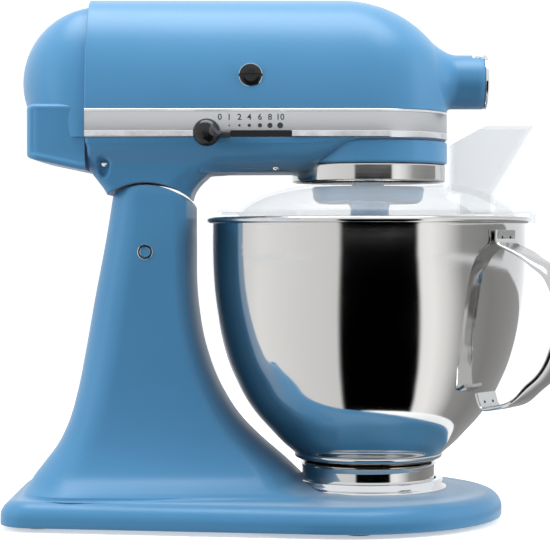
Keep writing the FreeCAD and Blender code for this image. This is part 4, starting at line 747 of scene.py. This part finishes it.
# Printed scale: dark grey ink, a hair above the face.
ink, tree, shader, place = surface("scale_ink", "#2E2F31", Roughness=0.5)
grain(tree, shader, place, "Base Color", (0.6, 3.0), "#26272A", "#3A3B3D")
PRINT_Y = -56.04
marks = []
for text, x in (("0", -100.2), ("1", -94.1), ("2", -87.3), ("4", -80.8), ("6", -73.8), ("8", -67.2),
                ("10", -60.5)):
    numeral = bpy.data.curves.new(f"numeral_{text}", "FONT")
    numeral.body, numeral.size = text, 0.0056
    numeral.align_x = numeral.align_y = "CENTER"
    numeral.extrude, numeral.resolution_u, numeral.offset = 0.00004, 3, 0.00008
    drawn = linked(f"numeral_{text}", numeral)
    plain = evaluated(drawn, f"numeral_{text}")
    stood = Matrix.Translation((x, PRINT_Y, 270.6)) @ Matrix.Rotation(math.pi / 2, 4, "X")
    points = [list(stood @ (v.co * 1000)) for v in plain.vertices]
    marks.append((points, [tuple(p.vertices) for p in plain.polygons], 0))
    bpy.data.objects.remove(drawn)
piece("scale_numerals", "head", plain_mesh("scale_numerals", marks, [ink]), "brushed_trim")
dot = plain_mesh("dot", [lathe([(0, 0.04), (0.5, 0.04), (0.5, -0.04), (0, -0.04)], 24)], [ink])
spots = [((x, PRINT_Y, 265.2), (math.pi / 2, 0, 0), size)
         for x, size in ((-94.1, 1.1), (-87.3, 1.6), (-80.8, 2.2), (-73.8, 2.8), (-67.2, 3.4), (-60.5, 3.9))]
piece("scale_dots", "head", scattered("scale_dots", dot, spots, ink), "brushed_trim")

# ---------------------------------------------------------------- drip ring
# Polished steel ring pressed round the nose, above the planetary, turned and buffed like the bowl.

# Polished steel: slightly warm mirror, softened by fine polishing lines round the bowl's axis.
steel, tree, shader, place = surface("polished_steel", "#D8D7D5", Metallic=1.0, Roughness=0.05)
split = add(tree, "ShaderNodeSeparateXYZ", {0: place})
level = add(tree, "ShaderNodeVectorMath", {0: place, 1: (1, 1, 0)}, operation="MULTIPLY")
radius = add(tree, "ShaderNodeVectorMath", {0: level.outputs[0]}, operation="LENGTH")
rolled = add(tree, "ShaderNodeCombineXYZ", {0: radius.outputs["Value"], 1: split.outputs[2]})
fine = add(tree, "ShaderNodeVectorMath", {0: rolled.outputs[0], 1: (1000 / 0.35,) * 3}, operation="MULTIPLY")
lines = add(tree, "ShaderNodeTexNoise", {"Vector": fine.outputs[0], "Scale": 1.0, "Detail": 3.0}).outputs[0]
broad = add(tree, "ShaderNodeVectorMath", {0: place, 1: (1000 / 22.0,) * 3}, operation="MULTIPLY")
smears = add(tree, "ShaderNodeTexNoise", {"Vector": broad.outputs[0], "Scale": 1.0, "Detail": 3.0}).outputs[0]
summed = add(tree, "ShaderNodeMath", {0: lines, 1: smears}, operation="ADD")
halved = add(tree, "ShaderNodeMath", {0: summed.outputs[0], 1: 0.5}, operation="MULTIPLY")
grain(tree, shader, place, "Roughness", halved.outputs[0], 0.05, 0.1)
grain(tree, shader, place, "Normal", lines, 0, 0.0012)
drip_profile = [(46.0, 240.9), (52.0, 240.9), (52.5, 240.6), (52.7, 240.0), (52.7, 230.4), (52.5, 229.4),
                (52.1, 228.9), (51.6, 229.0), (51.4, 229.6), (51.4, 239.6), (46.0, 239.6)]
drip = plain_mesh("nose_ring", [lathe(drip_profile, 160, looped=True)], [steel], 50)
piece("nose_ring", "head", drip, "chrome_trim", "drip_ring")

# ---------------------------------------------------------------- brush caps
# Black slotted caps over the motor brushes, one on each side, each in a thin bright rim.

plug_profile = [(0, 45.0), (7.2, 45.0), (7.2, 54.9), (7.0, 55.4), (6.4, 55.75), (4.0, 55.8), (0, 55.8)]
rim_profile = [(7.25, 53.0), (7.25, 54.9), (7.45, 55.15), (7.75, 55.0), (7.9, 54.5), (7.9, 53.0)]
plug_at = (-80.0, 0, 298.5)
caps = []
for side in (-1, 1):
    mirrored = Matrix.Diagonal((1, side, 1, 1))
    caps.append(moved(lathe(plug_profile, 72, "Y", plug_at), mirrored))
    caps.append(moved(lathe(rim_profile, 72, "Y", plug_at, 1, True), mirrored))
slots = [block(-88.0, -72.0, side * 56 - 1.5, side * 56 + 1.5, 297.6, 299.4) for side in (-1, 1)]
caps_mesh = carved(plain_mesh("brush_plugs", caps, [black, chrome]), slots)
piece("brush_plugs", "head", caps_mesh, "black_plastic", "brush_caps")

# ---------------------------------------------------------------- speed control
# Black ball knob on a lever that slides along the slot in the band.

knob_at = (-108.6, 0, 260.1)
ball = [(0, -71.2), (2.8, -71.1), (5.3, -70.5), (7.2, -69.3), (8.5, -67.6), (9.1, -65.6), (9.15, -63.6),
        (8.6, -61.4), (7.4, -59.6), (5.6, -58.2), (3.6, -57.7), (0, -57.7)]
stub = lathe([(0, 0), (4.2, 0), (4.4, 0.5), (4.4, 5.2), (4.1, 5.7), (0, 5.8)], 48, mark=1)
lean = Matrix.Translation((-106.2, -66.3, 259.6)) @ Matrix.Rotation(math.radians(58), 4, "Y")
lean = lean @ Matrix.Rotation(math.radians(30), 4, "X")
arm = block(-102.4, -96.4, -58.8, -57.0, 258.6, 261.4, 0.3, 2)
knob_parts = [lathe(ball, 96, "Y", knob_at), moved(stub, lean), arm]
# Dark grey moulded plastic, duller than the ball.
grey, tree, shader, place = surface("grey_plastic", "#39393C", Roughness=0.42)
grain(tree, shader, place, "Base Color", (4.0, 3.0), "#323235", "#414144")
grain(tree, shader, place, "Normal", (0.8, 2.0), 0, 0.012)
knob_mesh = plain_mesh("speed_ball", knob_parts, [black, grey, chrome])
piece("speed_ball", "speed_control", knob_mesh, "black_plastic", "speed_knob")

# ---------------------------------------------------------------- hub cover
# Plated cap hinged over the attachment hub, shallowly domed, with a raised border and a hinge lug.

cap_profile = [(0, 79.1), (17.6, 79.1), (18.3, 79.3), (18.5, 79.9), (18.4, 80.7), (17.6, 81.2), (16.4, 81.3),
               (15.6, 81.1), (14.6, 81.5), (11.0, 82.4), (6.0, 83.1), (0, 83.4)]
lug = block(73.4, 79.6, -8.6, 8.6, 309.9, 316.2, 0.8)
lid_mesh = plain_mesh("hub_lid", [lathe(cap_profile, 128, "X", (0, 0, HUB_Z)), lug], [chrome], 50)
piece("hub_lid", "hub_flap", lid_mesh, "chrome_trim", "hub_cover")

# ---------------------------------------------------------------- attachment knob
# Black knob on the far side of the hub that clamps an attachment, with a ribbed grip.

low, high = (v * 1000 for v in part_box("attachment_knob"))
grip_x, grip_z = (low.x + high.x) / 2, (low.z + high.z) / 2
grip_profile = [(0, 14.0), (3.0, 14.0)]
for r, depth in ((3.0, 12.0), (5.5, 11.5), (8.0, 10.0), (10.6, 9.0), (10.8, 8.0), (10.8, 2.2), (10.2, 1.0),
                 (8.6, 0.4), (0, 0)):
    grip_profile.append((r, high.y - depth))
grip = plain_mesh("hub_screw_knob", [lathe(grip_profile, 96, "Y", (grip_x, 0, grip_z))], [black])
piece("hub_screw_knob", "hub_knob", grip, "black_plastic", "attachment_knob")
rib_profile = [(0, 0), (0.85, 0.2), (1.0, 1.0), (1.0, 6.2), (0.7, 7.2), (0, 7.6)]
rib = plain_mesh("rib", [lathe(rib_profile, 16)], [black])
spots = []
for k in range(20):
    a = math.radians(18 * k)
    spot = (grip_x + 10.5 * math.cos(a), high.y - 9.0, grip_z + 10.5 * math.sin(a))
    spots.append((spot, (-math.pi / 2, 0, 0), 1.0))
piece("hub_knob_ribs", "hub_knob", scattered("hub_knob_ribs", rib, spots, black), "black_plastic")

# ---------------------------------------------------------------- planetary
# Cast head that carries the beater round the bowl: two rounded lobes with a round boss below.


def lobes(inset, z):
    """Ring of the planetary's plan: a disc hollowed on one side, with soft corners."""
    def inside(x, y):
        disc = np.hypot(x, y) - (39.0 - inset)
        waist = (60.0 + inset) - np.hypot(x, y - 84.0)
        return corner(disc, waist, 7.0)
    return ringed(reach(inside, around, (0.0, -4.0)), (0.0, -4.0), z)


rings = [lobes(6.0 * (1 - math.sin(a)) + 1.2, 214.4 + 6.0 * (1 - math.cos(a)))
         for a in np.linspace(0, 1.45, 9)]
rings += [lobes(1.2 - 0.2 * k, 221.0 + k) for k in range(4)] + [lobes(1.2, 225.7), lobes(2.0, 226.0)]
beater_axis = (0, -22.5, 0)
boss_profile = [(0, 202.0), (11.6, 202.0), (12.6, 202.5), (13.0, 203.4), (13.0, 211.0), (13.6, 213.0),
                (15.0, 214.6), (15.0, 216.0), (0, 216.0)]
planet_parts = [shell(rings, (0.0, -4.0, 214.4), (0.0, -4.0, 226.0)),
                lathe(boss_profile, 96, at=beater_axis),
                lathe([(0, 225.5), (11.0, 225.5), (11.0, 241.8), (0, 241.8)], 64),
                lathe([(0, 225.5), (8.9, 225.5), (8.9, 242.5), (0, 242.5)], 64, at=beater_axis)]
planet_mesh = plain_mesh("planet_head", planet_parts, [enamel], 40)
piece("planet_head", "planetary_head", planet_mesh, "painted_casting", "planetary")

# ---------------------------------------------------------------- beater
# Flat beater cast in aluminium and coated light grey, on a steel shaft with a bayonet pin.

# Nylon coating over the casting: pale grey, satin, with a fine pebbled skin.
coated, tree, shader, place = surface("coated_casting", "#C9CACB", Roughness=0.42)
grain(tree, shader, place, "Base Color", (12.0, 3.0), "#C0C1C3", "#D0D1D2")
grain(tree, shader, place, "Normal", (0.9, 3.0), 0, 0.02)
blank = linked("beater_blank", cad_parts["flat_beater"].data.copy())
clean = bmesh.new()
clean.from_mesh(blank.data)
bmesh.ops.remove_doubles(clean, verts=clean.verts, dist=1e-5)
clean.to_mesh(blank.data)
clean.free()
remesh = blank.modifiers.new("grain", "REMESH")
remesh.mode, remesh.voxel_size = "VOXEL", 0.0011
smooth = blank.modifiers.new("soften", "SMOOTH")
smooth.factor, smooth.iterations = 0.6, 9
beater = evaluated(blank, "cast_beater")
bpy.data.objects.remove(blank)
beater.materials.clear()
beater.materials.append(coated)
beater.shade_smooth()
piece("cast_beater", "beater", beater, "coated_casting", "flat_beater")
shaft_profile = [(0, 166.0), (5.2, 166.0), (5.95, 166.8), (5.95, 252.6), (5.4, 253.0), (0, 253.0)]
pin_profile = [(0, -11), (1.6, -11), (1.95, -10.6), (1.95, 10.6), (1.6, 11), (0, 11)]
spindle_parts = [lathe(shaft_profile, 48, at=beater_axis), lathe(pin_profile, 24, "X", (0, -22.5, 184.0))]
spindle = plain_mesh("beater_spindle", spindle_parts, [steel])
piece("beater_spindle", "beater", spindle, "polished_steel", "beater_shaft", "beater_shaft_pin")

# ---------------------------------------------------------------- bowl
# Spun steel bowl, mirror polished, with a rolled rim, a bead under the belly and a waisted foot.

BOWL_CURVE = [(50.6, 44.6), (58.5, 51.4), (67.3, 60.6), (77.0, 71.5), (84.5, 82.5), (90.0, 93.5),
              (94.8, 104.5), (99.2, 118.5), (102.4, 132), (105.8, 154), (107.2, 180), (107.2, 199.6)]
BOWL_WALL = 1.2
curve = np.array(BOWL_CURVE)
run = np.concatenate([[0], np.cumsum(np.linalg.norm(np.diff(curve, axis=0), axis=1))])
dense = between(np.linspace(0, run[-1], 400), np.column_stack([run, curve]))
outer = even(dense, 74)
tangent = np.gradient(outer, axis=0)
tangent /= np.linalg.norm(tangent, axis=1)[:, None]
inner = outer + np.stack([-tangent[:, 1], tangent[:, 0]], 1) * BOWL_WALL
roll = [(108.6 + 2.2 * math.cos(a), 203.0 + 2.2 * math.sin(a)) for a in np.linspace(-2.2, 2.6, 22)]
profile = [(0, 38.0), (38, 38.0), (44, 38.4), (48.2, 41.0)]
profile += outer.tolist() + roll + inner[::-1].tolist()
profile += [(48.0, 42.6), (43.0, 39.8), (38, 39.3), (0, 39.2)]
bead = [(48.2 + 2.4 * math.cos(a), 43.4 + 2.4 * math.sin(a))
        for a in np.linspace(0, 2 * math.pi, 24, endpoint=False)]
bowl = plain_mesh("steel_bowl", [lathe(profile, 240), lathe(bead, 200, looped=True)], [steel], 60)
piece("steel_bowl", "mixing_bowl", bowl, "polished_steel", "bowl")
foot_profile = [(46.9, 37.6), (45.6, 36.6), (45.2, 34.0), (45.2, 28.4), (45.7, 25.4), (46.1, 24.0),
                (45.9, 23.5), (44.9, 23.5), (44.4, 24.4), (44.0, 28.0), (44.0, 34.4), (43.4, 37.0),
                (43.6, 37.9), (46.4, 38.2)]
foot_parts = [lathe(foot_profile, 200, looped=True)]
for k in range(4):
    turn = Matrix.Rotation(math.radians(90 * k), 4, "Z")
    foot_parts.append(moved(block(44.2, 48.6, -9.0, 9.0, 23.5, 25.4, 0.5), turn))
foot = plain_mesh("steel_bowl_foot", foot_parts, [steel], 50)
piece("steel_bowl_foot", "mixing_bowl", foot, "polished_steel", "bowl_foot")

# ---------------------------------------------------------------- bowl handle
# Steel strap with rolled edges, bent into a grip and spot welded to the bowl at both ends.

HANDLE_ANGLE = math.radians(-38)
STRAP_HALF, STRAP_DEEP = 12.0, 1.2
path = [(109.6, 196.3), (109.0, 187.5), (120, 183), (147, 171), (156.3, 152), (156.3, 128), (146, 103),
        (121, 84), (97.6, 78.5), (93.9, 89.6)]
path = [np.array(p, float) for p in path]
line = [path[0]]
for a, p, b in zip(path, path[1:], path[2:]):
    u, w = a - p, b - p
    trim = 0.42 * min(np.linalg.norm(u), np.linalg.norm(w))
    start, end = p + u / np.linalg.norm(u) * trim, p + w / np.linalg.norm(w) * trim
    line += [(1 - t) ** 2 * start + 2 * t * (1 - t) * p + t * t * end for t in np.linspace(0, 1, 14)]
line.append(path[-1])
line = even(line, 130)
along = np.gradient(line, axis=0)
along /= np.linalg.norm(along, axis=1)[:, None]
out = np.stack([along[:, 1], -along[:, 0]], 1)
out *= np.sign(out[65, 0])
travel = np.linspace(0, 1, len(line))
curl = 3.4 * ease((travel - 0.12) / 0.12) * ease((0.84 - travel) / 0.12)
across = np.linspace(-1, 1, 25)
rings = []
for p, n, c in zip(line, out, curl):
    ring = []
    for side, order in ((STRAP_DEEP, across), (-STRAP_DEEP, across[::-1])):
        for v in order:
            bend = -c * abs(v) ** 3.2
            round_edge = 0.75 * max(abs(v) - 0.93, 0) / 0.07
            offset = bend + math.copysign(abs(side) - round_edge, side)
            ring.append((p[0] + n[0] * offset, v * STRAP_HALF, p[1] + n[1] * offset))
    rings.append(ring)
ends = [tuple(np.mean(rings[k], axis=0)) for k in (0, -1)]
strap = moved(shell(rings, *ends), Matrix.Rotation(HANDLE_ANGLE, 4, "Z"))
# Drawn steel strap: like the bowl but with a duller sheen.
strap_steel, tree, shader, place = surface("strap_steel", "#CFCFCE", Metallic=1.0, Roughness=0.16)
grain(tree, shader, place, "Roughness", (6.0, 3.0), 0.12, 0.22)
grain(tree, shader, place, "Normal", (0.5, 2.0, (1, 1, 12)), 0, 0.004)
piece("strap_handle", "mixing_bowl", plain_mesh("strap_handle", [strap], [strap_steel], 50), "polished_steel",
      "bowl_handle")
# Spot weld marks: small dark dimples.
weld_finish, tree, shader, place = surface("weld_mark", "#3A3836", Metallic=1.0, Roughness=0.4)
grain(tree, shader, place, "Base Color", (0.8, 3.0), "#2A2827", "#4E4B49")
weld = plain_mesh("weld", [lathe([(0, 0.16), (0.5, 0.12), (0.9, 0.0), (0.9, -0.1), (0, -0.1)], 24)],
                  [weld_finish])
spots = []
for r, z, rise, offset in ((110.65, 191.5, 4, -5), (110.65, 191.5, 4, 5), (97.2, 84.0, -22, -5),
                           (97.2, 84.0, -22, 5)):
    spot = Matrix.Rotation(HANDLE_ANGLE, 4, "Z") @ Vector((r, offset, z))
    spots.append((tuple(spot), (0, math.radians(90 + rise), HANDLE_ANGLE), 1.0))
piece("handle_welds", "mixing_bowl", scattered("handle_welds", weld, spots, weld_finish), "polished_steel")

# ---------------------------------------------------------------- pouring shield
# Clear moulded dome that rests on the bowl's rim, open at the rear, with three hooks on its flange.

# Clear moulded plastic: seen straight through, with a faint grey veil, sharp shine and flow marks.
clear, tree, shader, place = surface("clear_plastic", "#D4D8DA", Roughness=0.05, IOR=1.49, Alpha=0.16)
grain(tree, shader, place, "Base Color", (30.0, 2.0), "#CDD1D4", "#DBDEE0")
grain(tree, shader, place, "Normal", (30.0, 2.0), 0, 0.02)
grain(tree, shader, place, "Roughness", (18.0, 2.0), 0.03, 0.07)
outside = even([(52, 228), (59, 227.6), (66, 226.4), (74, 224.6), (82, 222), (89, 219.2), (95, 215.6),
                (99, 212.4), (101.3, 209.9), (102.4, 209.6)], 30).tolist()
lip = [(108, 209.6), (114.0, 209.6), (114.5, 209.2), (114.6, 208.6), (114.5, 207.9), (114.0, 207.6),
       (104, 207.6), (102.7, 207.0), (102.6, 202.6), (102.2, 202.1), (101.0, 202.1), (100.5, 202.6),
       (100.2, 206.6)]
inside = even([(99.3, 207.8), (97, 210.6), (93.2, 213.4), (87.6, 216.9), (81, 219.8), (73.4, 222.5),
               (65.5, 224.3), (58.8, 225.5), (52, 225.9)], 28).tolist()
dome = plain_mesh("clear_shield", [lathe(outside + lip + inside, 200, looped=True)], [clear], 40)
for opening in (block(-130, -20, -52, 52, 195, 240), block(59, 91.2, 24.8, 65.2, 196, 240)):
    dome = carved(dome, [opening])
hooks = []
for angle in (-122, 0, 122):
    rings = []
    for a in np.linspace(-5.5, 5.5, 9):
        at = math.radians(angle + a)
        tip = 200.9 + 1.6 * (abs(a) / 5.5) ** 3
        hook_profile = [(114.5, 207.9), (114.5, tip + 0.6), (114.1, tip), (113.1, tip), (112.7, tip + 0.6),
                        (112.7, 207.9)]
        rings.append([(r * math.cos(at), r * math.sin(at), z) for r, z in hook_profile])
    ends = [tuple(np.mean(rings[k], axis=0)) for k in (0, -1)]
    hooks.append(shell(rings, *ends))
shield_mesh = carved(dome, hooks, "UNION")
piece("clear_shield", "shield", shield_mesh, "clear_plastic", "pouring_shield")

# ---------------------------------------------------------------- pouring chute
# Clear funnel that stands on the shield beside the nose, with its outer wall leaning outwards.


def chute_ring(grow, z):
    """Rounded rectangle of the funnel at a height."""
    share = max((z - 222.0) / 47.5, 0)
    x0, x1 = 62.0 - grow, 88.0 + 28.0 * share + grow
    y0, y1 = 28.0 - 6.0 * share - grow, 62.0 + 6.0 * share + grow
    if z < 222:
        x0, x1, y0, y1 = 68.2 - grow, 88.0 + grow, 30.2 - grow, 59.8 + grow
    bend = 2.0 + max(grow, 0)
    run = []
    for cx, cy, start in ((x1 - bend, y1 - bend, 0), (x0 + bend, y1 - bend, 90), (x0 + bend, y0 + bend, 180),
                          (x1 - bend, y0 + bend, 270)):
        turns = [math.radians(start + a) for a in np.linspace(0, 90, 7)]
        run += [(cx + bend * math.cos(a), cy + bend * math.sin(a), z) for a in turns]
    return run


rings = [chute_ring(2.0, z) for z in (208.0, 215.0, 221.9, 222.0, 230, 238, 246, 254, 262, 268.9)]
rings += [chute_ring(1.7, 269.4), chute_ring(0.5, 269.5), chute_ring(0.1, 269.2)]
rings += [chute_ring(0.0, z) for z in (262, 254, 246, 238, 230, 222.1, 221.9, 215.0, 208.0)]
rings.append(rings[0])
chute = plain_mesh("clear_chute", [shell(rings)], [clear], 40)
chute = carved(chute, [lathe([(0, 200), (57.0, 200), (57.0, 290), (0, 290)], 96)])
near_corner = Matrix.Translation((73.3, 45.0, 264.0)) @ Matrix.Rotation(math.radians(-28.3), 4, "Y")
chute = carved(chute, [moved(block(-40, 40, -45, 45, 0, 30), near_corner)])
piece("clear_chute", "shield", chute, "clear_plastic", "pour_chute")

# ---------------------------------------------------------------- parts inside the head and small fittings
# Motor, brushes, gears, bearings and boards keep their machined shapes, each with the look of its stock.

# Cut and hardened steel: mid grey, satin, with fine turning marks.
gear_steel, tree, shader, place = surface("gear_steel", "#9A9B9D", Metallic=1.0, Roughness=0.32)
grain(tree, shader, place, "Roughness", (0.6, 3.0), 0.26, 0.42)
grain(tree, shader, place, "Normal", (0.4, 3.0, (1, 1, 8)), 0, 0.006)
# Zinc plating: pale, slightly blue, softly mottled.
zinc, tree, shader, place = surface("zinc_plate", "#C2C5C9", Metallic=1.0, Roughness=0.3)
grain(tree, shader, place, "Base Color", (3.0, 3.0), "#B6BABF", "#CDCFD2")
grain(tree, shader, place, "Normal", (0.8, 2.0), 0, 0.006)
# Enamelled copper wire: warm and glossy, with the lay of the turns.
copper, tree, shader, place = surface("copper_winding", "#B0653A", Metallic=1.0, Roughness=0.28)
grain(tree, shader, place, "Base Color", (0.9, 1.0, (8, 1, 1)), "#93502C", "#C4764A")
grain(tree, shader, place, "Normal", (0.9, 1.0, (8, 1, 1)), 0, 0.2)
# Sintered bronze: dull gold with open pores.
bronze, tree, shader, place = surface("bearing_bronze", "#A98248", Metallic=1.0, Roughness=0.42)
grain(tree, shader, place, "Base Color", (0.7, 4.0), "#8F6C3A", "#B68F54")
grain(tree, shader, place, "Normal", (0.4, 4.0), 0, 0.02)
# Pressed carbon: dark, dull and grainy.
carbon, tree, shader, place = surface("carbon", "#2B2B2C", Roughness=0.6)
grain(tree, shader, place, "Base Color", (0.5, 4.0), "#202021", "#3B3B3C")
grain(tree, shader, place, "Normal", (0.4, 3.0), 0, 0.02)
# Stacked steel sheets: dark grey with the edge of each sheet showing.
stack, tree, shader, place = surface("laminated_steel", "#6B6D70", Metallic=1.0, Roughness=0.45)
sheets = add(tree, "ShaderNodeTexWave", {"Vector": place, "Scale": 320.0, "Distortion": 0.4},
             bands_direction="X")
grain(tree, shader, place, "Base Color", sheets.outputs[1], "#55575A", "#7C7E81")
grain(tree, shader, place, "Normal", sheets.outputs[1], 0, 0.05)
# Glass fibre board: green lacquer over a faint weave.
board, tree, shader, place = surface("circuit_board", "#2F6B45", Roughness=0.35)
grain(tree, shader, place, "Base Color", (1.2, 2.0), "#29603D", "#357650")
grain(tree, shader, place, "Normal", (0.6, 1.0), 0, 0.01)
finishes = {"gear_steel": gear_steel, "zinc_screw": zinc, "copper_winding": copper, "bearing_bronze": bronze,
            "carbon": carbon, "laminated_steel": stack, "circuit_board": board, "grey_plastic": grey,
            "black_plastic": black, "chrome_trim": chrome, "polished_steel": steel, "dark_rubber": rubber,
            "painted_casting": enamel, "brushed_trim": brushed, "clear_plastic": clear,
            "coated_casting": coated}
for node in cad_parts.values():
    if not node.hide_render:
        for own in node.material_slots:
            own.material = finishes[own.material.name]

# ---------------------------------------------------------------- room, lights and camera
# White light tent: a sweep that glows evenly, a soft box overhead and a strip at each side. The shine on the
# metal comes from grey walls set by bearing, and from a glowing card on the floor that only reflections see:
# a painted reflection.

floor_mat, tree, shader, place = surface("sweep", "#F4F5F6", Roughness=0.7, Emission_Strength=0.42)
shader.inputs["Emission Color"].default_value = (1, 1, 1, 1)
grain(tree, shader, place, "Base Color", (400.0, 2.0), "#F2F3F4", "#F7F8F8")
sweep = []
for k in range(25):
    a = math.pi / 2 * min(max((k - 4) / 16, 0), 1)
    y, z = 1500 + 900 * math.sin(a), 900 * (1 - math.cos(a))
    if k < 4:
        y, z = -2600 + 4100 * k / 4, 0.0
    if k > 20:
        y, z = 2400.0, 900 + 400 * (k - 20)
    sweep.append([(x, y, z) for x in np.linspace(-4500, 4500, 12)])
ground = linked("sweep", plain_mesh("sweep", [shell(sweep, closed=False)], [floor_mat]))
ground.visible_diffuse = False


def softbox(name, at, aim, wide, high, power):
    """Rectangular area light turned to a point, metres and watts."""
    lamp = bpy.data.lights.new(name, "AREA")
    lamp.shape, lamp.size, lamp.size_y, lamp.energy = "RECTANGLE", wide, high, power
    shown = linked(name, lamp)
    shown.visible_glossy = name == "overhead"
    shown.location = at
    shown.rotation_euler = (Vector(aim) - Vector(at)).to_track_quat("-Z", "Y").to_euler()


softbox("overhead", (-0.1, -0.1, 1.3), (-0.06, 0, 0.2), 1.3, 0.7, 15)
softbox("strip_left", (-1.4, -0.6, 0.6), (-0.15, 0, 0.2), 0.5, 1.1, 15)
softbox("strip_right", (1.3, -0.3, 0.6), (-0.05, 0, 0.15), 0.4, 1.0, 15)

# Grey level of the room by share of a full turn: from the camera's side round the machine's rear, far side
# and nose, and back. The dark bar at both ends is the open side of the tent, where the camera stands.
STOPS = [(0.0, 0.0), (0.058, 0.0), (0.066, 0.8), (0.13, 0.85), (0.24, 1.0), (0.33, 0.75), (0.43, 0.5),
         (0.5, 0.4), (0.62, 0.36), (0.74, 0.28), (0.81, 0.36), (0.85, 0.9), (0.88, 1.15), (0.905, 1.1),
         (0.912, 0.0), (1.0, 0.0)]


def room_grey(tree, direction):
    """Grey level for a direction seen from the bowl's axis."""
    split = add(tree, "ShaderNodeSeparateXYZ", {0: direction})
    bearing = add(tree, "ShaderNodeMath", {0: split.outputs[0], 1: split.outputs[1]}, operation="ARCTAN2")
    turn = add(tree, "ShaderNodeMapRange", {0: bearing.outputs[0], 1: -math.pi, 2: math.pi, 3: 0.0, 4: 1.0})
    bars = add(tree, "ShaderNodeValToRGB", {0: turn.outputs[0]})
    while len(bars.color_ramp.elements) < len(STOPS):
        bars.color_ramp.elements.new(0.5)
    for stop, (at, value) in zip(bars.color_ramp.elements, STOPS):
        stop.position = at
        stop.color = (value, value, value, 1)
    return bars.outputs[0], split.outputs[2]


# Glowing card laid round the machine, seen only in reflections: a painted reflection that carries the tent's
# greys down to the base.
reflection_card_mat, tree, shader, place = surface("card", "#000000", Roughness=1.0, Specular_IOR_Level=0.0,
                                      Emission_Strength=1.0)
tree.links.new(room_grey(tree, place)[0], shader.inputs["Emission Color"])
card_profile = [(112, 1.0), (300, 1.0), (900, 1.0), (3300, 1.0)]
card = linked("card", plain_mesh("card", [lathe(card_profile, 96)], [reflection_card_mat]))
card.visible_camera = card.visible_diffuse = card.visible_shadow = card.visible_transmission = False

# The room round the set: the tent's greys for the shine, an even dim fill, and white beyond the sweep.
world = bpy.data.worlds.new("studio")
world.use_nodes = True
bpy.context.scene.world = world
tree = world.node_tree
tree.nodes.clear()
greys, height = room_grey(tree, add(tree, "ShaderNodeTexCoord").outputs["Generated"])
above = add(tree, "ShaderNodeMapRange", {0: height, 1: 0.045, 2: 0.051, 3: 0.0, 4: 1.0})
walls = add(tree, "ShaderNodeMix", {0: above.outputs[0], 6: greys, 7: (0.92, 0.94, 0.96, 1)},
            data_type="RGBA")
ray = add(tree, "ShaderNodeLightPath")
filled = add(tree, "ShaderNodeMix", {0: ray.outputs["Is Diffuse Ray"], 6: walls.outputs[2],
                                     7: (0.4, 0.42, 0.45, 1)}, data_type="RGBA")
seen = add(tree, "ShaderNodeMath", {0: ray.outputs["Is Camera Ray"], 1: ray.outputs["Is Transmission Ray"]},
           operation="MAXIMUM")
both = add(tree, "ShaderNodeMix", {0: seen.outputs[0], 6: filled.outputs[2], 7: (1, 1, 1, 1)},
           data_type="RGBA")
glow = add(tree, "ShaderNodeBackground", {"Color": both.outputs[2], "Strength": 1.0})
add(tree, "ShaderNodeOutputWorld", {0: glow.outputs[0]})

camera = bpy.data.cameras.new("camera")
camera.sensor_width, camera.lens = 36.0, 127.7
camera.shift_x, camera.shift_y = 0.0, -0.0564
camera.clip_start = 0.05
viewer = linked("camera", camera)
viewer.location = (-0.0639, -1.340, 0.1904)
viewer.rotation_euler = (math.pi / 2, 0, 0)
bpy.context.scene.camera = viewer
bpy.context.scene.view_settings.view_transform = "Standard"
